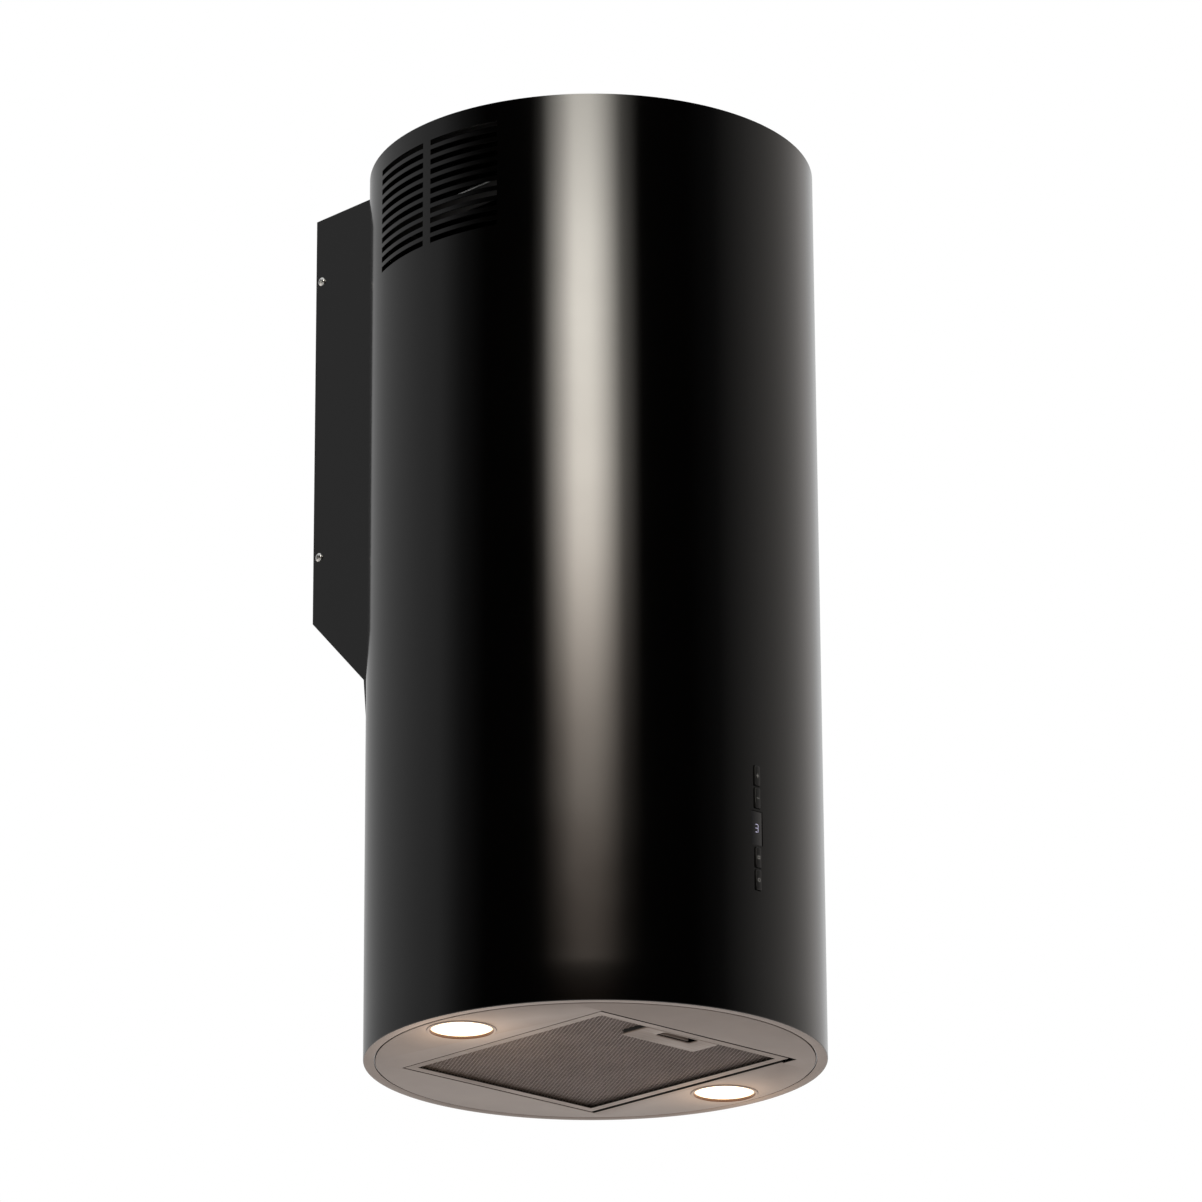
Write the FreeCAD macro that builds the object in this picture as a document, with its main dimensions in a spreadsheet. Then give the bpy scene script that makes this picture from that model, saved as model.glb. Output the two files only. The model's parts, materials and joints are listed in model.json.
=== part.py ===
"""Wall-mounted tube range hood: a vertical round casing on a spacer box, with blower, filter and lamps.

Every sub-part is drawn about the tube's own axis, with z = 0 at the tube's bottom edge, the wall
towards +y and the controls towards -y.  Its Placement then moves it to the hood's frame, whose
origin is the centre of the wall fixing pattern on the wall plane.
"""
import FreeCAD, Part
import math
import os
import re
import Sketcher

Vector = FreeCAD.Vector
Rotation = FreeCAD.Rotation

# Driving sizes in millimetres, or plain counts and degrees where the note says so.
SIZES = [
    ("tube_radius", 195.0, "outside radius of the casing"),
    ("tube_height", 800.0, "casing from bottom edge to top edge"),
    ("tube_wall", 1.2, "casing sheet"),
    ("rim_width", 9.4, "in-turned rim at the bottom edge"),
    ("rim_round", 1.0, "rounding of the bottom outer edge"),
    ("wall_gap", 35.0, "space between casing and wall"),
    ("sheet_gap", 0.2, "clearance between sheets that lie inside each other"),
    ("vent_rows", 11.0, "count of slots in a column"),
    ("vent_pitch", 9.07, "from slot to slot"),
    ("vent_slot", 5.2, "height of a slot"),
    ("vent_bar", 9.4, "bar between the two columns"),
    ("vent_reach", 73.5, "far end of a column from the middle"),
    ("vent_top", 17.3, "top slot below the top edge"),
    ("panel_gap", 0.8, "shadow gap round the bottom panel"),
    ("panel_sheet", 1.2, "bottom panel sheet"),
    ("panel_skirt", 14.0, "upturned edge of the bottom panel"),
    ("opening_length", 244.0, "filter opening, front to back"),
    ("strip_left", 16.0, "panel between the filter opening and the left lamp ring"),
    ("strip_right", 8.0, "panel between the filter opening and the right lamp ring"),
    ("opening_y", 2.0, "middle of the filter opening, to the back"),
    ("opening_lip", 8.0, "upturned lips beside the filter"),
    ("filter_gap_left", 1.0, "filter frame to opening"),
    ("filter_gap_right", 4.0, "filter frame to opening"),
    ("filter_gap_end", 2.0, "filter frame to opening, front and back"),
    ("filter_depth", 9.0, "thickness of the filter cassette"),
    ("filter_sheet", 1.0, "filter frame sheet"),
    ("filter_rim", 8.0, "visible filter frame edge"),
    ("mesh_depth", 1.2, "expanded metal layer"),
    ("mesh_gap", 0.05, "clearance between layers of the cassette"),
    ("tab_width", 14.0, "rear tab of the filter"),
    ("tab_reach", 5.0, "rear tab beyond the opening edge"),
    ("tab_spread", 62.0, "rear tab from the filter middle"),
    ("latch_offset", 6.5, "latch left of the filter middle"),
    ("latch_width", 82.0, "latch plate, side to side"),
    ("latch_length", 31.0, "latch plate, front to back"),
    ("latch_sheet", 1.2, "latch plate sheet"),
    ("latch_depth", 7.8, "latch tray"),
    ("finger_width", 40.0, "finger hole in the latch plate"),
    ("finger_length", 12.0, "finger hole in the latch plate"),
    ("finger_edge", 2.0, "finger hole to the front of the latch plate"),
    ("slider_width", 36.0, "latch slider"),
    ("slider_gap", 0.4, "running clearance of the slider"),
    ("slider_travel", 5.0, "travel of the latch slider"),
    ("tongue_reach", 2.6, "latch tongue over the panel"),
    ("spring_radius", 2.2, "latch spring coil"),
    ("spring_wire", 0.5, "latch spring wire"),
    ("spring_turns", 5.0, "count of coils"),
    ("spring_shut", 4.8, "latch spring when fully pressed"),
    ("lamp_edge", 3.8, "lamp ring to the panel edge"),
    ("lamp_radius", 26.0, "lamp glass"),
    ("lamp_sheet", 1.2, "lamp ring sleeve"),
    ("lamp_thickness", 2.0, "lamp glass"),
    ("lamp_flange", 3.0, "lamp ring beyond the glass"),
    ("lamp_lip", 0.6, "lamp ring over the edge of the glass"),
    ("lamp_proud", 0.8, "lamp ring below the panel"),
    ("lamp_sleeve", 14.0, "lamp ring sleeve height"),
    ("lamp_cup", 22.0, "reflector height"),
    ("cup_sheet", 1.0, "reflector sheet"),
    ("lamp_gap", 0.2, "clearance round the lamp parts"),
    ("holder_radius", 11.0, "lamp holder"),
    ("holder_height", 18.0, "lamp holder"),
    ("clip_height", 10.0, "lamp clip above the panel"),
    ("clip_sheet", 1.0, "lamp clip sheet"),
    ("clip_foot", 6.0, "foot of a lamp clip"),
    ("clip_width", 8.0, "lamp clip"),
    ("frame_sheet", 1.5, "sheet of the inner frame"),
    ("ring_height", 25.0, "outer leg of the lower ring"),
    ("ring_foot", 16.0, "inner leg of the lower ring"),
    ("rail_width", 24.0, "upright rail"),
    ("rail_inset", 3.8, "rail face inside the casing"),
    ("upper_ring_drop", 14.5, "upper ring below the top edge"),
    ("upper_ring_width", 13.0, "upper ring, radially"),
    ("tie_inset", 53.0, "side tie inside the casing"),
    ("tie_height", 20.0, "side tie"),
    ("tie_drop", 55.0, "middle of the side ties below the top edge"),
    ("tie_tab", 12.0, "bent end of a tie"),
    ("cover_drop", 1.5, "top cover below the top edge"),
    ("separator_drop", 145.0, "separator plate below the top edge"),
    ("bracket_width", 20.0, "separator bracket"),
    ("bracket_leg", 20.0, "separator bracket leg"),
    ("seal_height", 9.0, "foam strip at the separator edge"),
    ("screw_radius", 2.0, "screw shank"),
    ("screw_head", 4.0, "screw head radius"),
    ("head_height", 2.4, "screw head"),
    ("screw_gap", 0.1, "clearance hole round a shank"),
    ("screw_height", 9.0, "panel screws above the panel face"),
    ("screw_length", 8.0, "shank of the side and separator screws"),
    ("panel_screw_length", 4.5, "shank of the panel screws"),
    ("cut_start", 12.0, "a cut starts this far off the wall that it goes through"),
    ("box_half_width", 120.0, "spacer box, half its width"),
    ("box_drop", 381.0, "wall edge of the box below the top edge"),
    ("box_slope", 68.0, "45 degree slope of the box floor"),
    ("tongue_height", 89.0, "tapering foot of the box"),
    ("box_screw_edge", 8.0, "side screws from the wall"),
    ("box_screw_end", 60.0, "side screws from the ends of the box"),
    ("plate_inset", 40.5, "wall plate to the ends of the box"),
    ("plate_tab", 16.0, "bent sides of the wall plate"),
    ("fixing_width", 160.0, "wall fixings, side to side"),
    ("fixing_end", 20.0, "wall fixings to the ends of the wall plate"),
    ("fixing_offset", 0.5, "wall fixings above the middle of the box"),
    ("fixing_hole", 4.0, "wall fixing hole radius"),
    ("blower_sheet", 1.2, "scroll sheet"),
    ("blower_y", 45.0, "blower axis behind the tube axis"),
    ("blower_drop", 320.0, "blower axis below the top edge"),
    ("blower_half", 75.0, "scroll, half its width"),
    ("scroll_gap", 13.0, "scroll beyond the impeller at its cut-off"),
    ("scroll_step", 12.0, "growth of the scroll in a quarter turn"),
    ("cutoff_offset", 25.0, "cut-off in front of the blower axis"),
    ("neck_top", 120.0, "end of the scroll neck above the blower axis"),
    ("wheel_radius", 75.0, "impeller"),
    ("wheel_gap", 13.0, "impeller end to the outside of the scroll"),
    ("wheel_rim", 2.5, "impeller end ring"),
    ("blade_depth", 13.0, "impeller blade, radially"),
    ("blade_lean", 6.0, "impeller blade, forward lean"),
    ("blade_inset", 0.5, "blade tips inside the end rings"),
    ("web_half", 1.0, "impeller web, half its thickness"),
    ("blade_sheet", 0.9, "impeller blade"),
    ("blade_count", 36.0, "count of impeller blades"),
    ("hub_radius", 12.0, "impeller hub"),
    ("shaft_radius", 4.0, "motor shaft"),
    ("shaft_gap", 0.06, "running clearance of the shaft"),
    ("shaft_proud", 6.0, "motor shaft beyond the hub"),
    ("shaft_seat", 2.0, "end of the shaft inside the motor can"),
    ("motor_radius", 38.0, "motor can"),
    ("motor_start", 6.0, "motor can from the middle of the wheel"),
    ("motor_gap", 4.0, "motor can to the end of the wheel"),
    ("boss_radius", 18.0, "motor boss in the bracket"),
    ("arm_width", 14.0, "motor bracket arm"),
    ("bracket_rim", 8.0, "motor bracket ring beyond the inlet"),
    ("bracket_lap", 2.0, "motor bracket ring inside the inlet, and hub beyond the boss"),
    ("carbon_radius", 95.0, "charcoal filter"),
    ("carbon_depth", 28.0, "charcoal filter"),
    ("carbon_gap", 1.0, "charcoal filter to motor bracket"),
    ("carbon_rim", 8.0, "raised edge of the charcoal filter"),
    ("carbon_dish", 3.0, "hollow of the charcoal filter's faces"),
    ("outlet_margin", 1.5, "outlet box beyond the scroll and the collar"),
    ("collar_radius", 75.0, "duct collar outside"),
    ("collar_height", 50.0, "duct collar"),
    ("collar_flange", 12.0, "duct collar foot"),
    ("duct_gap", 3.0, "cover hole round the duct"),
    ("flap_drop", 15.0, "flap spindle below the collar's top"),
    ("flap_sheet", 1.0, "flap"),
    ("flap_gap", 1.0, "flap to collar"),
    ("spindle_radius", 1.5, "flap spindle"),
    ("knuckle_radius", 3.0, "flap knuckle"),
    ("knuckle_length", 29.0, "flap knuckle"),
    ("knuckle_gap", 1.0, "space between knuckles"),
    ("control_bottom", 107.6, "lowest button above the bottom edge"),
    ("button_height", 17.0, "button cap"),
    ("button_width", 5.6, "button cap"),
    ("button_space", 2.4, "space between the controls"),
    ("button_proud", 1.5, "button face beyond the casing"),
    ("button_gap", 0.3, "clearance round a button"),
    ("button_flange", 1.5, "retaining flange round a button"),
    ("button_travel", 1.2, "button travel"),
    ("button_stem", 6.0, "button behind the casing"),
    ("button_step", 2.0, "retaining flange from the back of a button"),
    ("display_width", 13.0, "display window"),
    ("display_height", 29.4, "display window"),
    ("display_sunk", 0.6, "window face behind the casing's front"),
    ("display_sheet", 1.6, "window thickness"),
    ("display_gap", 0.1, "clearance round the window"),
    ("module_inset", 1.0, "display module inside the sides of the window"),
    ("board_gap", 0.3, "clearance round the board and its parts"),
    ("housing_half", 22.0, "control housing, half its width"),
    ("housing_depth", 16.0, "control housing"),
    ("housing_wall", 1.5, "control housing wall"),
    ("housing_end", 10.0, "control housing beyond the controls"),
    ("housing_inset", 2.4, "control housing inside the casing"),
    ("board_depth", 9.0, "board in front of the housing's back"),
    ("board_sheet", 1.6, "circuit board"),
    ("switch_size", 6.0, "switch on the board"),
    ("capacitor_radius", 17.0, "motor capacitor"),
    ("capacitor_height", 60.0, "motor capacitor"),
    ("capacitor_x", 115.0, "capacitor to the left"),
    ("capacitor_rim", 2.0, "foot rim of the capacitor"),
    ("junction_width", 56.0, "junction box"),
    ("junction_height", 34.0, "junction box"),
    ("junction_wall", 2.0, "junction box wall"),
    ("junction_x", 115.0, "junction box to the right"),
    ("service_y", 60.0, "capacitor and junction box in front of the axis"),
    ("gland_radius", 8.0, "cable gland thread"),
    ("gland_nut", 4.0, "gland nut beyond the thread"),
    ("gland_depth", 10.0, "gland nut below the cover"),
    ("gland_collar", 5.0, "straight part of the gland above the cover"),
    ("gland_rise", 12.0, "gland above the cover"),
    ("gland_x", 95.0, "cable gland to the right"),
    ("gland_y", 85.0, "cable gland to the back"),
]

# Lengths that follow from the driving sizes.
TERMS = {
    "tube_inner": "(tube_radius - tube_wall)",
    "axis_to_wall": "(tube_radius + wall_gap)",
    "rim_radius": "(tube_radius - rim_width)",
    "panel_radius": "(rim_radius - panel_gap)",
    "lamp_ring": "(lamp_radius + lamp_flange)",
    "lamp_x": "(panel_radius - lamp_edge - lamp_ring)",
    "opening_left": "(strip_left + lamp_ring - lamp_x)",
    "opening_right": "(lamp_x - lamp_ring - strip_right)",
    "opening_front": "(opening_y - opening_length / 2)",
    "opening_back": "(opening_y + opening_length / 2)",
    "filter_left": "(opening_left + filter_gap_left)",
    "filter_right": "(opening_right - filter_gap_right)",
    "filter_front": "(opening_front + filter_gap_end)",
    "filter_back": "(opening_back - filter_gap_end)",
    "filter_x": "((filter_left + filter_right) / 2)",
    "latch_x": "(filter_x - latch_offset)",
    "latch_front": "(filter_front + filter_rim)",
    "latch_back": "(latch_front + latch_length)",
    "finger_front": "(latch_front + finger_edge)",
    "finger_back": "(finger_front + finger_length)",
    "tongue_low": "(panel_sheet + slider_gap)",
    "slider_back": "(latch_back - latch_sheet - slider_travel - spring_shut)",
    "ring_outer": "(tube_inner - sheet_gap)",
    "ring_inner": "(rim_radius - sheet_gap)",
    "rail_inner": "(tube_inner - rail_inset)",
    "rail_bottom": "(tube_wall + frame_sheet + 2 * sheet_gap)",
    "upper_ring_z": "(tube_height - upper_ring_drop)",
    "cover_z": "(tube_height - cover_drop - frame_sheet)",
    "separator_z": "(tube_height - separator_drop)",
    "rail_face": "(rail_inner - frame_sheet)",
    "separator_radius": "(rail_face - sheet_gap)",
    "bracket_screw": "(separator_radius - bracket_leg / 2)",
    "box_bottom": "(tube_height - box_drop)",
    "fixing_height": "(tube_height - box_drop / 2 + fixing_offset)",
    "plate_height": "(box_drop - 2 * plate_inset)",
    "fixing_spacing": "(plate_height - 2 * fixing_end)",
    "slope_bottom": "(box_bottom - box_slope)",
    "slope_front": "(axis_to_wall - box_slope)",
    "box_screw_y": "(axis_to_wall - box_screw_edge)",
    "blower_z": "(tube_height - blower_drop)",
    "scroll_radius": "(wheel_radius + scroll_gap)",
    "inlet_radius": "(wheel_radius - blade_depth)",
    "wheel_half": "(blower_half - wheel_gap)",
    "motor_end": "(wheel_half - motor_gap)",
    "outlet_half": "(max(blower_half; collar_radius) + outlet_margin)",
    "neck_front": "(blower_y - scroll_radius - 3 * scroll_step)",
    "neck_back": "(blower_y - cutoff_offset)",
    "outlet_y": "((neck_front + neck_back) / 2)",
    "outlet_z": "(blower_z + neck_top)",
    "collar_z": "(separator_z + frame_sheet)",
    "flap_z": "(collar_z + collar_height - flap_drop)",
    "control_pitch": "(button_height + button_space)",
    "display_bottom": "(control_bottom + 2 * control_pitch)",
    "control_top": "(display_bottom + display_height + 2 * control_pitch)",
    "housing_front": "(tube_inner - housing_inset)",
    "housing_back": "(housing_front - housing_depth)",
    "board_front": "(housing_back + board_depth)",
    "button_back": "(tube_inner - button_stem)",
    "service_z": "(separator_z - sheet_gap)",
}
SIDES = {"left": -1, "right": 1}
BUTTONS = {
    "button_light": "(control_bottom)",
    "button_off": "(control_bottom + control_pitch)",
    "button_slower": "(display_bottom + display_height + button_space)",
    "button_faster": "(display_bottom + display_height + button_space + control_pitch)",
}
SCREW_HEIGHTS = ("(box_bottom + box_screw_end)", "(tube_height - box_screw_end)")
NAMES = {name for name, _, _ in SIZES}
WORD = re.compile(r"[a-z_]+[a-z]")

doc = FreeCAD.newDocument("tube_hood")
sheet = doc.addObject("Spreadsheet::Sheet", "sizes")
for row, (name, number, note) in enumerate(SIZES, 1):
    sheet.set(f"A{row}", name)
    sheet.set(f"B{row}", str(number))
    sheet.set(f"C{row}", note)
    sheet.setAlias(f"B{row}", name)
doc.recompute()
SUBPARTS = []


def link(text):
    """Write out the named terms and point every size at its cell."""
    text = str(text)
    while any(word in TERMS for word in WORD.findall(text)):
        text = WORD.sub(lambda found: TERMS.get(found[0], found[0]), text)
    return WORD.sub(lambda found: f"sizes.{found[0]}" if found[0] in NAMES else found[0], text)


def value(text):
    return float(sheet.evalExpression(link(text)))


def bind(thing, name, text):
    thing.setExpression(name, link(text))


def place(thing, x="0", y="0", z="0"):
    """Put a sub-part, drawn about the tube's axis, in the hood's own frame."""
    bind(thing, "Placement.Base.x", x)
    bind(thing, "Placement.Base.y", f"{y} - axis_to_wall")
    bind(thing, "Placement.Base.z", f"{z} - fixing_height")


def subpart(label, turn=0, x="0", y="0", z="0", kind="PartDesign::Body"):
    made = doc.addObject(kind, label)
    made.Label = label
    made.Placement.Rotation = Rotation(Vector(0, 0, 1), turn)
    place(made, x, y, z)
    SUBPARTS.append(made)
    return made


def solid(label, shape):
    """A sub-part whose shape is worked out from the sheet's values."""
    made = doc.addObject("Part::Feature", label)
    made.Label = label
    moved = shape.Placement.Matrix
    shape.Placement = FreeCAD.Placement()
    made.Shape = shape.transformed(moved, True)
    place(made)
    SUBPARTS.append(made)
    return made


def datum(body, role):
    return next(item for item in body.Origin.OriginFeatures if item.Role == role)


def sketch(body, role="XY_Plane", offset="0"):
    made = body.newObject("Sketcher::SketchObject", "sketch")
    made.AttachmentSupport = (datum(body, role), [""])
    made.MapMode = "FlatFace"
    bind(made, "AttachmentOffset.Base.z", offset)
    return made


def dimension(drawing, kind, item, end, text):
    number = drawing.addConstraint(Sketcher.Constraint(kind, item, end, value(text)))
    bind(drawing, f"Constraints[{number}]", text)


def outline(drawing, corners):
    """A closed run of straight lines with a dimension to the axes at every corner."""
    first = drawing.GeometryCount
    spots = [Vector(value(across), value(up), 0) for across, up in corners]
    count = len(spots)
    for i in range(count):
        drawing.addGeometry(Part.LineSegment(spots[i], spots[(i + 1) % count]), False)
    for i in range(count):
        after = first + (i + 1) % count
        drawing.addConstraint(Sketcher.Constraint("Coincident", first + i, 2, after, 1))
    for i, (across, up) in enumerate(corners):
        dimension(drawing, "DistanceX", first + i, 1, across)
        dimension(drawing, "DistanceY", first + i, 1, up)


def rectangle(drawing, left, low, right, high):
    outline(drawing, [(left, low), (right, low), (right, high), (left, high)])


def circle(drawing, across, up, radius):
    item = drawing.addGeometry(Part.Circle(Vector(value(across), value(up), 0),
                                           Vector(0, 0, 1), value(radius)), False)
    dimension(drawing, "DistanceX", item, 3, across)
    dimension(drawing, "DistanceY", item, 3, up)
    number = drawing.addConstraint(Sketcher.Constraint("Radius", item, value(radius)))
    bind(drawing, f"Constraints[{number}]", radius)


def pad(body, drawing, length, middle=False, back=False):
    made = body.newObject("PartDesign::Pad", "pad")
    made.Profile = drawing
    bind(made, "Length", length)
    made.Midplane = middle
    made.Reversed = back
    doc.recompute()
    return made


def pocket(body, drawing, length, middle=False, back=False):
    before = body.Shape.Volume
    made = body.newObject("PartDesign::Pocket", "pocket")
    made.Profile = drawing
    bind(made, "Length", length)
    made.Midplane = middle
    made.Reversed = back
    doc.recompute()
    if body.Shape.Volume > before - 0.5:
        raise RuntimeError(f"{body.Label}: a pocket cuts nothing")
    return made


def revolve(body, drawing, axis="Z_Axis"):
    made = body.newObject("PartDesign::Revolution", "revolution")
    made.Profile = drawing
    made.ReferenceAxis = (datum(body, axis), [""])
    made.Angle = 360
    doc.recompute()
    return made


def polar(body, features, count, axis="Z_Axis"):
    made = body.newObject("PartDesign::PolarPattern", "pattern")
    made.Originals = features
    made.Axis = (datum(body, axis), [""])
    made.Angle = 360
    bind(made, "Occurrences", count)
    body.Tip = made
    doc.recompute()
    return made


def turned(label, profile, axis="Z_Axis", role="XZ_Plane", **where):
    """A sub-part turned about an axis from one closed profile."""
    body = subpart(label, **where)
    drawing = sketch(body, role)
    outline(drawing, profile)
    revolve(body, drawing, axis)
    return body


# Casing, bottom panel and inner frame.

def outer_tube():
    body = turned("outer_tube", [
        ("rim_radius", "0"), ("tube_radius", "0"), ("tube_radius", "tube_height"),
        ("tube_inner", "tube_height"), ("tube_inner", "tube_wall"), ("rim_radius", "tube_wall")])
    shell = body.Tip
    edges = [f"Edge{i}" for i, edge in enumerate(shell.Shape.Edges, 1)
             if edge.Curve.TypeId == "Part::GeomCircle" and edge.BoundBox.ZMax < value("tube_wall") / 2
             and abs(edge.Curve.Radius - value("tube_radius")) < value("tube_wall") / 2]
    rounding = body.newObject("PartDesign::Fillet", "rounding")
    rounding.Base = (shell, edges)
    bind(rounding, "Radius", "rim_round")
    body.Tip = rounding
    doc.recompute()
    slots = sketch(body, "YZ_Plane")
    low = "tube_height - vent_top - vent_slot - vent_pitch * (vent_rows - 1)"
    rectangle(slots, "vent_bar / 2", low, "vent_reach", f"{low} + vent_slot")
    rectangle(slots, "-vent_reach", low, "-vent_bar / 2", f"{low} + vent_slot")
    row = pocket(body, slots, "2 * (tube_radius + cut_start)", middle=True)
    one_row = rounding.Shape.Volume - body.Shape.Volume
    rows = body.newObject("PartDesign::LinearPattern", "rows")
    rows.Originals = [row]
    rows.Direction = (datum(body, "Z_Axis"), [""])
    bind(rows, "Length", "vent_pitch * (vent_rows - 1)")
    bind(rows, "Occurrences", "vent_rows")
    body.Tip = rows
    doc.recompute()
    if rounding.Shape.Volume - body.Shape.Volume < one_row * (value("vent_rows") - 0.5):
        raise RuntimeError("outer_tube: the rows of slots are not all cut")
    holes = sketch(body, "XZ_Plane", "tube_radius - cut_start")
    for low in BUTTONS.values():
        rectangle(holes, "-button_width / 2 - button_gap", f"{low} - button_gap",
                  "button_width / 2 + button_gap", f"{low} + button_height + button_gap")
    rectangle(holes, "-display_width / 2", "display_bottom",
              "display_width / 2", "display_bottom + display_height")
    pocket(body, holes, "2 * cut_start", back=True)


def bottom_panel():
    body = turned("bottom_panel", [
        ("0", "0"), ("panel_radius", "0"), ("panel_radius", "panel_skirt"),
        ("panel_radius - panel_sheet", "panel_skirt"),
        ("panel_radius - panel_sheet", "panel_sheet"), ("0", "panel_sheet")])
    lips = sketch(body, offset="panel_sheet")
    rectangle(lips, "opening_left - panel_sheet", "opening_front", "opening_left", "opening_back")
    rectangle(lips, "opening_right", "opening_front", "opening_right + panel_sheet", "opening_back")
    pad(body, lips, "opening_lip")
    holes = sketch(body)
    rectangle(holes, "opening_left", "opening_front", "opening_right", "opening_back")
    for side in SIDES.values():
        circle(holes, f"{side} * lamp_x", "0", "lamp_radius + lamp_sheet + 2 * lamp_gap")
    pocket(body, holes, "6 * panel_sheet", middle=True)
    screw = sketch(body, "XZ_Plane")
    screw.AttachmentOffset = FreeCAD.Placement(Vector(), Rotation(Vector(0, 1, 0), 45))
    bind(screw, "AttachmentOffset.Base.x", "(panel_radius - cut_start) * sin(45deg)")
    bind(screw, "AttachmentOffset.Base.z", "(panel_radius - cut_start) * cos(45deg)")
    circle(screw, "0", "screw_height", "screw_radius + screw_gap")
    hole = pocket(body, screw, "2 * cut_start", back=True)
    polar(body, [hole], "4")


def lower_ring():
    body = turned("lower_ring", [
        ("ring_inner", "tube_wall"), ("ring_outer", "tube_wall"), ("ring_outer", "ring_height"),
        ("ring_outer - frame_sheet", "ring_height"),
        ("ring_outer - frame_sheet", "tube_wall + frame_sheet"),
        ("ring_inner + frame_sheet", "tube_wall + frame_sheet"),
        ("ring_inner + frame_sheet", "ring_foot"), ("ring_inner", "ring_foot")], turn=45)
    screw = sketch(body, "XZ_Plane", "panel_radius - cut_start")
    circle(screw, "0", "screw_height", "screw_radius + screw_gap")
    hole = pocket(body, screw, "cut_start + rim_width / 2", back=True)
    polar(body, [hole], "4")


def radial_screws(label, radius, height, length):
    """Four screws that point outwards, at 45 degrees to the front, with their heads inside."""
    body = subpart(label, turn=45)
    head = sketch(body, "XZ_Plane", radius)
    circle(head, "0", height, "screw_head")
    pan = pad(body, head, "head_height", back=True)
    shank = sketch(body, "XZ_Plane", radius)
    circle(shank, "0", height, "screw_radius")
    stem = pad(body, shank, length)
    polar(body, [pan, stem], "4")


def frame_rails():
    for number in range(1, 5):
        body = subpart(f"frame_rail_{number}", turn=90 * number - 45)
        section = sketch(body, offset="rail_bottom")
        rectangle(section, "rail_face", "-rail_width / 2", "rail_inner", "rail_width / 2")
        pad(body, section, "upper_ring_z - rail_bottom")


def upper_ring():
    turned("upper_ring", [
        ("ring_outer - upper_ring_width", "upper_ring_z"), ("ring_outer", "upper_ring_z"),
        ("ring_outer", "cover_z"), ("ring_outer - frame_sheet", "cover_z"),
        ("ring_outer - frame_sheet", "upper_ring_z + frame_sheet"),
        ("ring_outer - upper_ring_width", "upper_ring_z + frame_sheet")])


def frame_ties():
    """Flat bars between the front and rear rails of a side, with ends bent along the rails."""
    bend = "(tube_radius - tie_inset)"
    end = f"((rail_face - sheet_gap) * sqrt(2) - {bend})"
    slim = "(frame_sheet * (sqrt(2) - 1))"
    skew = "(frame_sheet / sqrt(2))"
    for side, sign in SIDES.items():
        body = subpart(f"frame_tie_{side}")
        section = sketch(body, offset="tube_height - tie_drop")
        outline(section, [
            (f"{sign} * {bend}", f"-{end}"), (f"{sign} * {bend}", end),
            (f"{sign} * ({bend} - tie_tab)", f"{end} + tie_tab"),
            (f"{sign} * ({bend} - tie_tab - {skew})", f"{end} + tie_tab - {skew}"),
            (f"{sign} * ({bend} - frame_sheet)", f"{end} - {slim}"),
            (f"{sign} * ({bend} - frame_sheet)", f"-{end} + {slim}"),
            (f"{sign} * ({bend} - tie_tab - {skew})", f"-{end} - tie_tab + {skew}"),
            (f"{sign} * ({bend} - tie_tab)", f"-{end} - tie_tab")])
        pad(body, section, "tie_height", middle=True)


def separator():
    body = subpart("separator_plate")
    disc = sketch(body, offset="separator_z")
    circle(disc, "0", "0", "separator_radius")
    pad(body, disc, "frame_sheet")
    holes = sketch(body, offset="separator_z")
    circle(holes, "0", "outlet_y", "collar_radius - blower_sheet")
    for sign in SIDES.values():
        for way in SIDES.values():
            circle(holes, f"{sign} * bracket_screw * sin(45deg)",
                   f"{way} * bracket_screw * cos(45deg)", "screw_radius + screw_gap")
    pocket(body, holes, "frame_sheet", back=True)
    brackets = subpart("separator_brackets", turn=45)
    angle = sketch(brackets, "XZ_Plane")
    outline(angle, [
        ("separator_radius - bracket_leg", "separator_z - frame_sheet"),
        ("rail_face - frame_sheet", "separator_z - frame_sheet"),
        ("rail_face - frame_sheet", "separator_z - bracket_leg"),
        ("rail_face", "separator_z - bracket_leg"), ("rail_face", "separator_z"),
        ("separator_radius - bracket_leg", "separator_z")])
    one = pad(brackets, angle, "bracket_width", middle=True)
    drill = sketch(brackets, offset="separator_z")
    circle(drill, "bracket_screw", "0", "screw_radius + screw_gap")
    hole = pocket(brackets, drill, "2 * frame_sheet")
    polar(brackets, [one, hole], "4")
    screws = subpart("separator_screws", turn=45)
    face = sketch(screws, offset="collar_z")
    circle(face, "bracket_screw", "0", "screw_head")
    pan = pad(screws, face, "head_height")
    core = sketch(screws, offset="collar_z")
    circle(core, "bracket_screw", "0", "screw_radius")
    stem = pad(screws, core, "screw_length", back=True)
    polar(screws, [pan, stem], "4")
    seal = turned("separator_seal", [
        ("separator_radius", "separator_z"), ("ring_outer", "separator_z"),
        ("ring_outer", "separator_z + seal_height"), ("separator_radius", "separator_z + seal_height")],
        turn=45)
    notch = sketch(seal, offset="separator_z")
    rectangle(notch, "separator_radius - cut_start", "-rail_width / 2",
              "ring_outer + cut_start", "rail_width / 2")
    gap = pocket(seal, notch, "seal_height", back=True)
    polar(seal, [gap], "4")


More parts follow.
